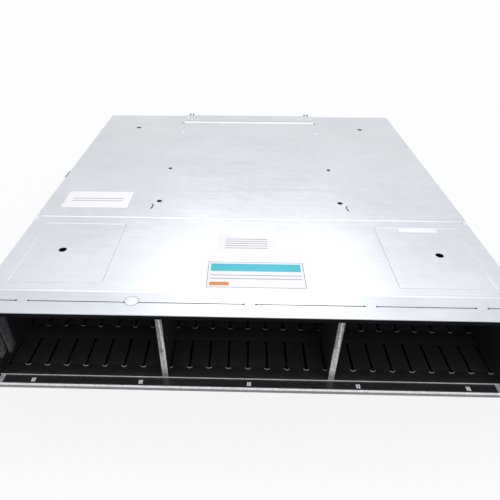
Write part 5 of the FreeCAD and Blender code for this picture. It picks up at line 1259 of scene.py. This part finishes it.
# %% Openings of a fan guard
SUPPLIES = {side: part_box(f"psu_case_{side}")[0].x / MM for side in ("left", "right")}
SUPPLY_WIDE = (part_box("psu_case_left")[1].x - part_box("psu_case_left")[0].x) / MM
SUPPLY_LOW, SUPPLY_TOP = (corner.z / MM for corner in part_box("psu_faceplate_left"))
FANS_AT, FAN_Z, FAN_BORE, FAN_FRAME, FAN_DEEP = (29.0, 72.0), SUPPLY_LOW + 55.0, 18.5, 40.0, 20.0
GUARD_BAR, GUARD_BANDS = 0.9, ((0.0, 6.7), (8.5, 12.3), (14.1, 18.5))


def guard_openings(x, z):
    """What is punched out between the rings and the cross of a guard."""
    openings = []
    for quarter in range(4):
        turn = 90 * quarter
        for inner, outer in GUARD_BANDS:
            far = math.degrees(math.asin(GUARD_BAR / outer))
            opening = bow(x, z, outer, turn + far, turn + 90 - far, 12)
            if inner:
                near = math.degrees(math.asin(GUARD_BAR / inner))
                opening += bow(x, z, inner, turn + 90 - near, turn + near, 10)
            else:
                opening += bow(x, z, GUARD_BAR * math.sqrt(2), turn + 45, turn + 45, 1)[:1]
            openings.append(opening)
    return openings


print("openings in a guard:", len(guard_openings(0.0, 0.0)))

# %% Rear plates and cases
INLET_AT, INLET_Z, INLET_WIDE, INLET_TALL, INLET_FIT = 24.0, SUPPLY_LOW + 16.0, 28.0, 20.4, 0.1
SWITCH_AT, WELL_X, WELL_Z = 56.0, 6.7, 9.8
LATCH_AT, LATCH_LOW, LATCH_HIGH = 84.0, SUPPLY_LOW + 5.0, 12.0
LATCH_HALF, LATCH_ROOM, LATCH_FIT = 1.5, 4.7, 0.3
FAN_SCREWS, CASE_SCREW_IN, CASE_SCREW_Y = 16.0, 14, (225, 340, 455)
for side, left in SUPPLIES.items():
    body = f"supply_{side}"
    outlines = [pane(left, left + SUPPLY_WIDE, SUPPLY_LOW, SUPPLY_TOP, 1.0)]
    for fan_at in FANS_AT:
        outlines += guard_openings(left + fan_at, FAN_Z)
    inlet_x, switch_x, latch_x = left + INLET_AT, left + SWITCH_AT, left + LATCH_AT
    outlines.append(pane(inlet_x - INLET_WIDE / 2 - INLET_FIT, inlet_x + INLET_WIDE / 2 + INLET_FIT,
                         INLET_Z - INLET_TALL / 2 - INLET_FIT, INLET_Z + INLET_TALL / 2 + INLET_FIT, 2.0))
    outlines.append(pane(switch_x - WELL_X, switch_x + WELL_X, INLET_Z - WELL_Z, INLET_Z + WELL_Z, 0.8))
    outlines.append(pane(latch_x - LATCH_HALF - LATCH_FIT, latch_x + LATCH_HALF + LATCH_ROOM,
                         LATCH_LOW - LATCH_FIT, LATCH_LOW + LATCH_HIGH + LATCH_FIT, 0.8))
    punched = plate(outlines, FACE, FACE_EDGE, UPRIGHT, (0, FACE_MIDDLE, 0))
    rear_plate = piece(f"supply_plate_{side}", punched, galvanised, body, "zinc", f"psu_faceplate_{side}")
    case = eased_copy(f"psu_case_{side}", 0.4, SUPPLY_LOW - 1, galvanised, body, "zinc", 2)
    fan_screws = [(left + fan_at + aside * FAN_SCREWS, REAR, FAN_Z + up * FAN_SCREWS, BACK)
                  for fan_at in FANS_AT for aside in (-1, 1) for up in (-1, 1)]
    case_screws = [(left + at, y, SUPPLY_TOP, UP) for at in (CASE_SCREW_IN, SUPPLY_WIDE - CASE_SCREW_IN)
                   for y in CASE_SCREW_Y]
    screws = grown(f"supply_screws_{side}", spots(fan_screws + case_screws), screw_tree, fastener, body,
                   "zinc", Radius=2.4 * MM, Height=0.9 * MM, Recess=0.6 * MM)
    print(count(rear_plate, case, screws))

# %% Mains inlet and switch well
INLET_RIM, INLET_REAR, INLET_FRONT, CAVITY_FRONT, KEY_CUT = 1.8, REAR + 1.0, REAR - 21.0, REAR - 15.0, 4.0
PRONGS, PRONG_WIDE, PRONG_TALL, PRONG_END = ((-7.0, -2.0), (0.0, 2.0), (7.0, -2.0)), 1, 2, REAR - 5.0
WELL_WALL, WELL_FRONT, WELL_REAR, WELL_LIP = 1.4, REAR - 13.5, REAR - FACE, 0.7


def solid_between(outlines, near, far, edge):
    """An upright plate that fills the space between two depths."""
    return plate(outlines, far - near, edge, UPRIGHT, (0, (near + far) / 2, 0))


def around(x, z, half, tall, corner):
    """A rectangle given by its middle."""
    return pane(x - half, x + half, z - tall, z + tall, corner)


for side, left in SUPPLIES.items():
    body = f"supply_{side}"
    x, z, half, tall = left + INLET_AT, INLET_Z, INLET_WIDE / 2, INLET_TALL / 2
    shell = around(x, z, half, tall, 1.8)
    in_half, in_tall = half - INLET_RIM, tall - INLET_RIM
    cavity = softened([(x - in_half, z - in_tall), (x + in_half, z - in_tall),
                       (x + in_half, z + in_tall - KEY_CUT), (x + in_half - KEY_CUT, z + in_tall),
                       (x - in_half + KEY_CUT, z + in_tall), (x - in_half, z + in_tall - KEY_CUT)], 0.9)
    switch_x = left + SWITCH_AT
    well = around(switch_x, z, WELL_X, WELL_Z, 0.8)
    well_out = pane(switch_x - WELL_X - WELL_WALL, switch_x + WELL_X + WELL_WALL, z - WELL_Z - WELL_WALL,
                    z + WELL_Z + WELL_WALL, 1.2)
    moulded = [solid_between([shell, cavity], CAVITY_FRONT, INLET_REAR, 0.35),
               solid_between([shell], INLET_FRONT, CAVITY_FRONT + 0.2, 0.2),
               solid_between([well_out, well], WELL_FRONT + WELL_WALL - 0.1, WELL_REAR, 0.1),
               solid_between([well_out], WELL_FRONT, WELL_FRONT + WELL_WALL, 0.2),
               solid_between([well_out, well], REAR, REAR + WELL_LIP, 0.3)]
    inlet = piece(f"inlet_and_well_{side}", joined(*moulded), abs_black, body, "plastic",
                  f"psu_inlet_{side}")
    blades = [solid_between([around(x + aside, z + up, PRONG_WIDE, PRONG_TALL, 0.4)], CAVITY_FRONT,
                            PRONG_END, 0.3) for aside, up in PRONGS]
    prongs = piece(f"inlet_blades_{side}", joined(*blades), nickel, body, "pin")
    print(count(inlet, prongs))

# %% Rocker with its two marks
ROCKER_WIDE, ROCKER_HALF, PIVOT_Y, FLUSH, PROUD = 11.0, 8.6, REAR - 3.2, 0.8, 3.0
AXLE, AXLE_LONG = 1.2, 2 * (WELL_X + WELL_WALL) - 0.4
MARK_THICK, MARK_LIFT, MARK_HALF, BAR_HALF, RING_IN = 0.08, 0.02, 1.7, 0.4, 1.0
UPPER_TILT = -math.atan2(PROUD, ROCKER_HALF - FLUSH)
LOWER_TILT = math.atan2(FLUSH, ROCKER_HALF - FLUSH)
for side, left in SUPPLIES.items():
    x, z, body = left + SWITCH_AT, INLET_Z, f"rocker_{side}"
    nose = [(PIVOT_Y - FLUSH, z - ROCKER_HALF / 2), (REAR + FLUSH, z - ROCKER_HALF),
            (REAR + FLUSH, z - ROCKER_HALF + FLUSH), (REAR, z), (REAR + PROUD, z + ROCKER_HALF - FLUSH),
            (REAR + PROUD - FLUSH, z + ROCKER_HALF), (PIVOT_Y - FLUSH, z + ROCKER_HALF / 2)]
    key = plate([softened(nose, 0.35)], ROCKER_WIDE, 0.3, SIDEWAYS, (x, 0, 0))
    axle = plate([disc(PIVOT_Y, z, AXLE, 20)], AXLE_LONG, 0.1, SIDEWAYS, (x, 0, 0))
    rocker = piece(f"rocker_key_{side}", joined(key, axle), abs_black, body, "plastic",
                   f"psu_switch_{side}")
    bar = plate([around(0, 0, BAR_HALF, MARK_HALF, 0.0)], MARK_THICK, 0.0,
                Matrix.Rotation(UPPER_TILT, 4, "X") @ UPRIGHT,
                (x, REAR + PROUD / 2 + MARK_LIFT, z + (ROCKER_HALF - FLUSH) / 2))
    ring = plate([disc(0, 0, MARK_HALF, 32), disc(0, 0, RING_IN, 32)], MARK_THICK, 0.0,
                 Matrix.Rotation(LOWER_TILT, 4, "X") @ UPRIGHT,
                 (x, REAR + FLUSH / 2 + MARK_LIFT, z - (ROCKER_HALF - FLUSH) / 2))
    prints = piece(f"rocker_marks_{side}", joined(bar, ring), white_ink, body, "plastic")
    print(count(rocker, prints))

# %% [markdown]
# ## Fans
# Each supply has two 40 mm fans. The frame is a square tube with a spider that carries the motor. The
# rotor is a hub with seven blades. A blade follows a rule: it is turned most where it leaves the hub and
# less towards the tip, and it is cambered. So a tree bends a thin block by that rule and sets it round
# the hub.

# %% Frames
SPIDER, STRUT, HUB, SHAFT, SCREW_HOLE, SHAFT_SHORT = 2.0, 3.0, 8.0, 1.5, 1.7, 1.5
FAN_REAR = REAR - FACE
FAN_FRONT = FAN_REAR - FAN_DEEP
for side, left in SUPPLIES.items():
    shells = []
    for fan_at in FANS_AT:
        x, z, half, reach = left + fan_at, FAN_Z, FAN_FRAME / 2, FAN_BORE + SPIDER / 2
        holes = [disc(x + aside * FAN_SCREWS, z + up * FAN_SCREWS, SCREW_HOLE, 16) for aside in (-1, 1)
                 for up in (-1, 1)]
        tube = [around(x, z, half, half, 2.5), disc(x, z, FAN_BORE, 72)] + holes
        shells.append(solid_between(tube, FAN_FRONT, FAN_REAR, 0.4))
        struts = [around(x, z, reach, STRUT / 2, 0.0), around(x, z, STRUT / 2, reach, 0.0)]
        for arm in struts + [disc(x, z, HUB)]:
            shells.append(solid_between([arm], FAN_FRONT, FAN_FRONT + SPIDER, 0.2))
        shells.append(solid_between([disc(x, z, SHAFT, 20)], FAN_FRONT, FAN_REAR - SHAFT_SHORT, 0.2))
    frames = piece(f"fan_shells_{side}", joined(*shells), fan_black, f"supply_{side}", "plastic",
                   f"psu_fan_frames_{side}")
    print(count(frames))

# %% Tree of a wheel of twisted blades
BLADES, BLADE_TIP = 7, 17.4
blade_tree, given, close = start_tree("fan_blades",
                                      {"Root": 7.4 * MM, "Tip": BLADE_TIP * MM, "Chord": 14.0 * MM,
                                       "Thick": 1.1 * MM, "Camber": 1.3 * MM, "Root Pitch": 0.72,
                                       "Tip Pitch": 0.46})
span = add(blade_tree, "ShaderNodeMath", {0: given["Tip"], 1: given["Root"]},
           operation="SUBTRACT").outputs[0]
block = add(blade_tree, "ShaderNodeCombineXYZ", {0: span, 1: given["Thick"], 2: given["Chord"]}).outputs[0]
flat_blade = add(blade_tree, "GeometryNodeMeshCube",
                 {"Size": block, "Vertices X": 6, "Vertices Y": 2, "Vertices Z": 8})
place = add(blade_tree, "GeometryNodeInputPosition").outputs[0]
chord_at = add(blade_tree, "ShaderNodeSeparateXYZ", {0: place}).outputs["Z"]
chord_share = add(blade_tree, "ShaderNodeMath", {0: chord_at, 1: given["Chord"]},
                  operation="DIVIDE").outputs[0]
chord_square = add(blade_tree, "ShaderNodeMath", {0: chord_share, 1: 2.0}, operation="POWER").outputs[0]
bulge = add(blade_tree, "ShaderNodeMath", {0: chord_square, 1: -4.0, 2: 1.0},
            operation="MULTIPLY_ADD").outputs[0]
belly = add(blade_tree, "ShaderNodeMath", {0: bulge, 1: given["Camber"]}, operation="MULTIPLY").outputs[0]
half_span = add(blade_tree, "ShaderNodeMath", {0: span, 1: 0.5}, operation="MULTIPLY").outputs[0]
outward = add(blade_tree, "ShaderNodeMath", {0: half_span, 1: given["Root"]}, operation="ADD").outputs[0]
shift = add(blade_tree, "ShaderNodeCombineXYZ", {0: outward, 1: belly}).outputs[0]
bowed = add(blade_tree, "GeometryNodeSetPosition",
            {0: flat_blade.outputs["Mesh"], "Offset": shift}).outputs[0]
radius = add(blade_tree, "ShaderNodeSeparateXYZ", {0: place}).outputs["X"]
pitch = add(blade_tree, "ShaderNodeMapRange",
            {0: radius, 1: given["Root"], 2: given["Tip"], 3: given["Root Pitch"],
             4: given["Tip Pitch"]}).outputs[0]
twisted = add(blade_tree, "ShaderNodeVectorRotate", {"Vector": place, "Angle": pitch},
              rotation_type="X_AXIS").outputs[0]
blade = add(blade_tree, "GeometryNodeSetPosition", {0: bowed, "Position": twisted}).outputs[0]
ring_points = add(blade_tree, "GeometryNodePoints", {"Count": BLADES}).outputs[0]
number = add(blade_tree, "GeometryNodeInputIndex").outputs[0]
step = add(blade_tree, "ShaderNodeMath", {0: number, 1: math.tau / BLADES}, operation="MULTIPLY").outputs[0]
round_turn = add(blade_tree, "FunctionNodeAxisAngleToRotation", {"Axis": UP, "Angle": step}).outputs[0]
wheel = add(blade_tree, "GeometryNodeInstanceOnPoints",
            {"Points": ring_points, "Instance": blade, "Rotation": round_turn})
wheels = add(blade_tree, "GeometryNodeInstanceOnPoints",
             {"Points": given["Geometry"], "Instance": wheel.outputs[0], "Rotation": facing(blade_tree)})
close(wheels.outputs[0])
print("tree:", blade_tree.name, "with", BLADES, "blades")

# %% Rotors
HUB_FRONT, HUB_REAR, HUB_SIDES, HUB_CAP = FAN_FRONT + 3.5, FAN_REAR - 1.5, 56, 1.0
for side, left in SUPPLIES.items():
    for fan_at, letter in zip(FANS_AT, "ab"):
        x, z, body = left + fan_at, FAN_Z, f"fan_{side}_{letter}"
        rings = [disc(x, z, HUB, HUB_SIDES), disc(x, z, SHAFT + 0.1, 20)]
        barrel = solid_between(rings, HUB_FRONT, HUB_REAR, 0.3)
        cap = solid_between([disc(x, z, HUB - HUB_CAP, HUB_SIDES)], HUB_REAR - 0.2, HUB_REAR + 0.6, 0.35)
        hub = piece(f"fan_hub_{side}_{letter}", joined(barrel, cap), fan_black, body, "plastic",
                    f"psu_fan_{side}_{letter}")
        seeds = spots([(x, (HUB_FRONT + HUB_REAR) / 2, z, BACK)])
        blades = grown(f"fan_blades_{side}_{letter}", seeds, blade_tree, fan_black, body, "plastic")
        print(count(hub, blades))

# %% [markdown]
# ## Handles and thumb latches
# The handle is a bent strap with two feet. The latch is a terracotta lever that leaves the plate through
# a slot and locks the supply to the chassis. Both keep one outline across their width, so they are plates
# too.

# %% Handles
HANDLE_AT, HANDLE_WIDE, HANDLE_OUT, STRAP = 104.0, 12.0, REAR + 24.0, 3.0
HANDLE_LOW, HANDLE_TOP, BEND, FOOT = SUPPLY_LOW + 16.0, SUPPLY_LOW + 72.0, 8.0, 9.0
strap = ([(REAR, HANDLE_LOW - FOOT), (REAR + STRAP, HANDLE_LOW - FOOT), (REAR + STRAP, HANDLE_LOW)]
         + bow(HANDLE_OUT - BEND, HANDLE_LOW + BEND, BEND, -90, 0, 9)
         + bow(HANDLE_OUT - BEND, HANDLE_TOP - BEND, BEND, 0, 90, 9)
         + [(REAR, HANDLE_TOP), (REAR, HANDLE_TOP - STRAP - FOOT),
            (REAR + STRAP, HANDLE_TOP - STRAP - FOOT), (REAR + STRAP, HANDLE_TOP - STRAP)]
         + bow(HANDLE_OUT - BEND, HANDLE_TOP - BEND, BEND - STRAP, 90, 0, 9)
         + bow(HANDLE_OUT - BEND, HANDLE_LOW + BEND, BEND - STRAP, 0, -90, 9)
         + [(REAR, HANDLE_LOW + STRAP)])
for side, left in SUPPLIES.items():
    x = left + HANDLE_AT
    handle = piece(f"handle_strap_{side}", plate([strap], HANDLE_WIDE, 0.7, SIDEWAYS, (x, 0, 0)), abs_black,
                   f"supply_{side}", "plastic", f"psu_handle_{side}")
    feet = [(x, REAR + STRAP, z, BACK) for z in (HANDLE_LOW - FOOT / 2, HANDLE_TOP - STRAP - FOOT / 2)]
    bolts = grown(f"handle_screws_{side}", spots(feet), screw_tree, fastener, f"supply_{side}", "zinc")
    print(count(handle, bolts))

# %% Thumb latches
LATCH_PIVOT, LATCH_BOSS, LATCH_BORE, LATCH_END = REAR - 24.0, 4.2, 1.9, REAR + 15.0
LATCH_RIBS, LATCH_RIB_FIRST, LATCH_RIB_STEP = 4, 3, 2.2
open_angle = math.degrees(math.asin(LATCH_HALF / LATCH_BOSS))
for side, left in SUPPLIES.items():
    x, middle, body = left + LATCH_AT, LATCH_LOW + LATCH_HIGH / 2, f"thumb_latch_{side}"
    outline = (bow(x, LATCH_PIVOT, LATCH_BOSS, 90 + open_angle, 450 - open_angle, 24)
               + bow(x, LATCH_END - LATCH_HALF, LATCH_HALF - 0.05, 0, 180, 8))
    lever = plate([outline, disc(x, LATCH_PIVOT, LATCH_BORE, 20)], LATCH_HIGH, 0.35, lift=(0, 0, middle))
    latch = piece(f"latch_arm_{side}", lever, touch_clay, body, "touch", f"psu_latch_{side}")
    grip = [(x + hand * LATCH_HALF, LATCH_END - LATCH_RIB_FIRST - LATCH_RIB_STEP * number, middle, UP)
            for hand in (-1, 1) for number in range(LATCH_RIBS)]
    ribs = grown(f"latch_ribs_{side}", spots(grip), rib_tree, touch_clay, body, "touch", Long=10.0 * MM)
    print(count(latch, ribs))

# %% [markdown]
# ## Side walls
# The side walls are folded sheets with rack ears, shaped by the solids already. Copies with eased edges
# stand in for them, as they do for the lid, so that their long folds catch the light.

# %% Eased side walls
for side in ("left", "right"):
    wall = eased_copy(f"side_wall_{side}", 0.4, SHEET + 2 * CLEAR, wall_metal, "chassis", "zinc", 2)
    print(count(wall))
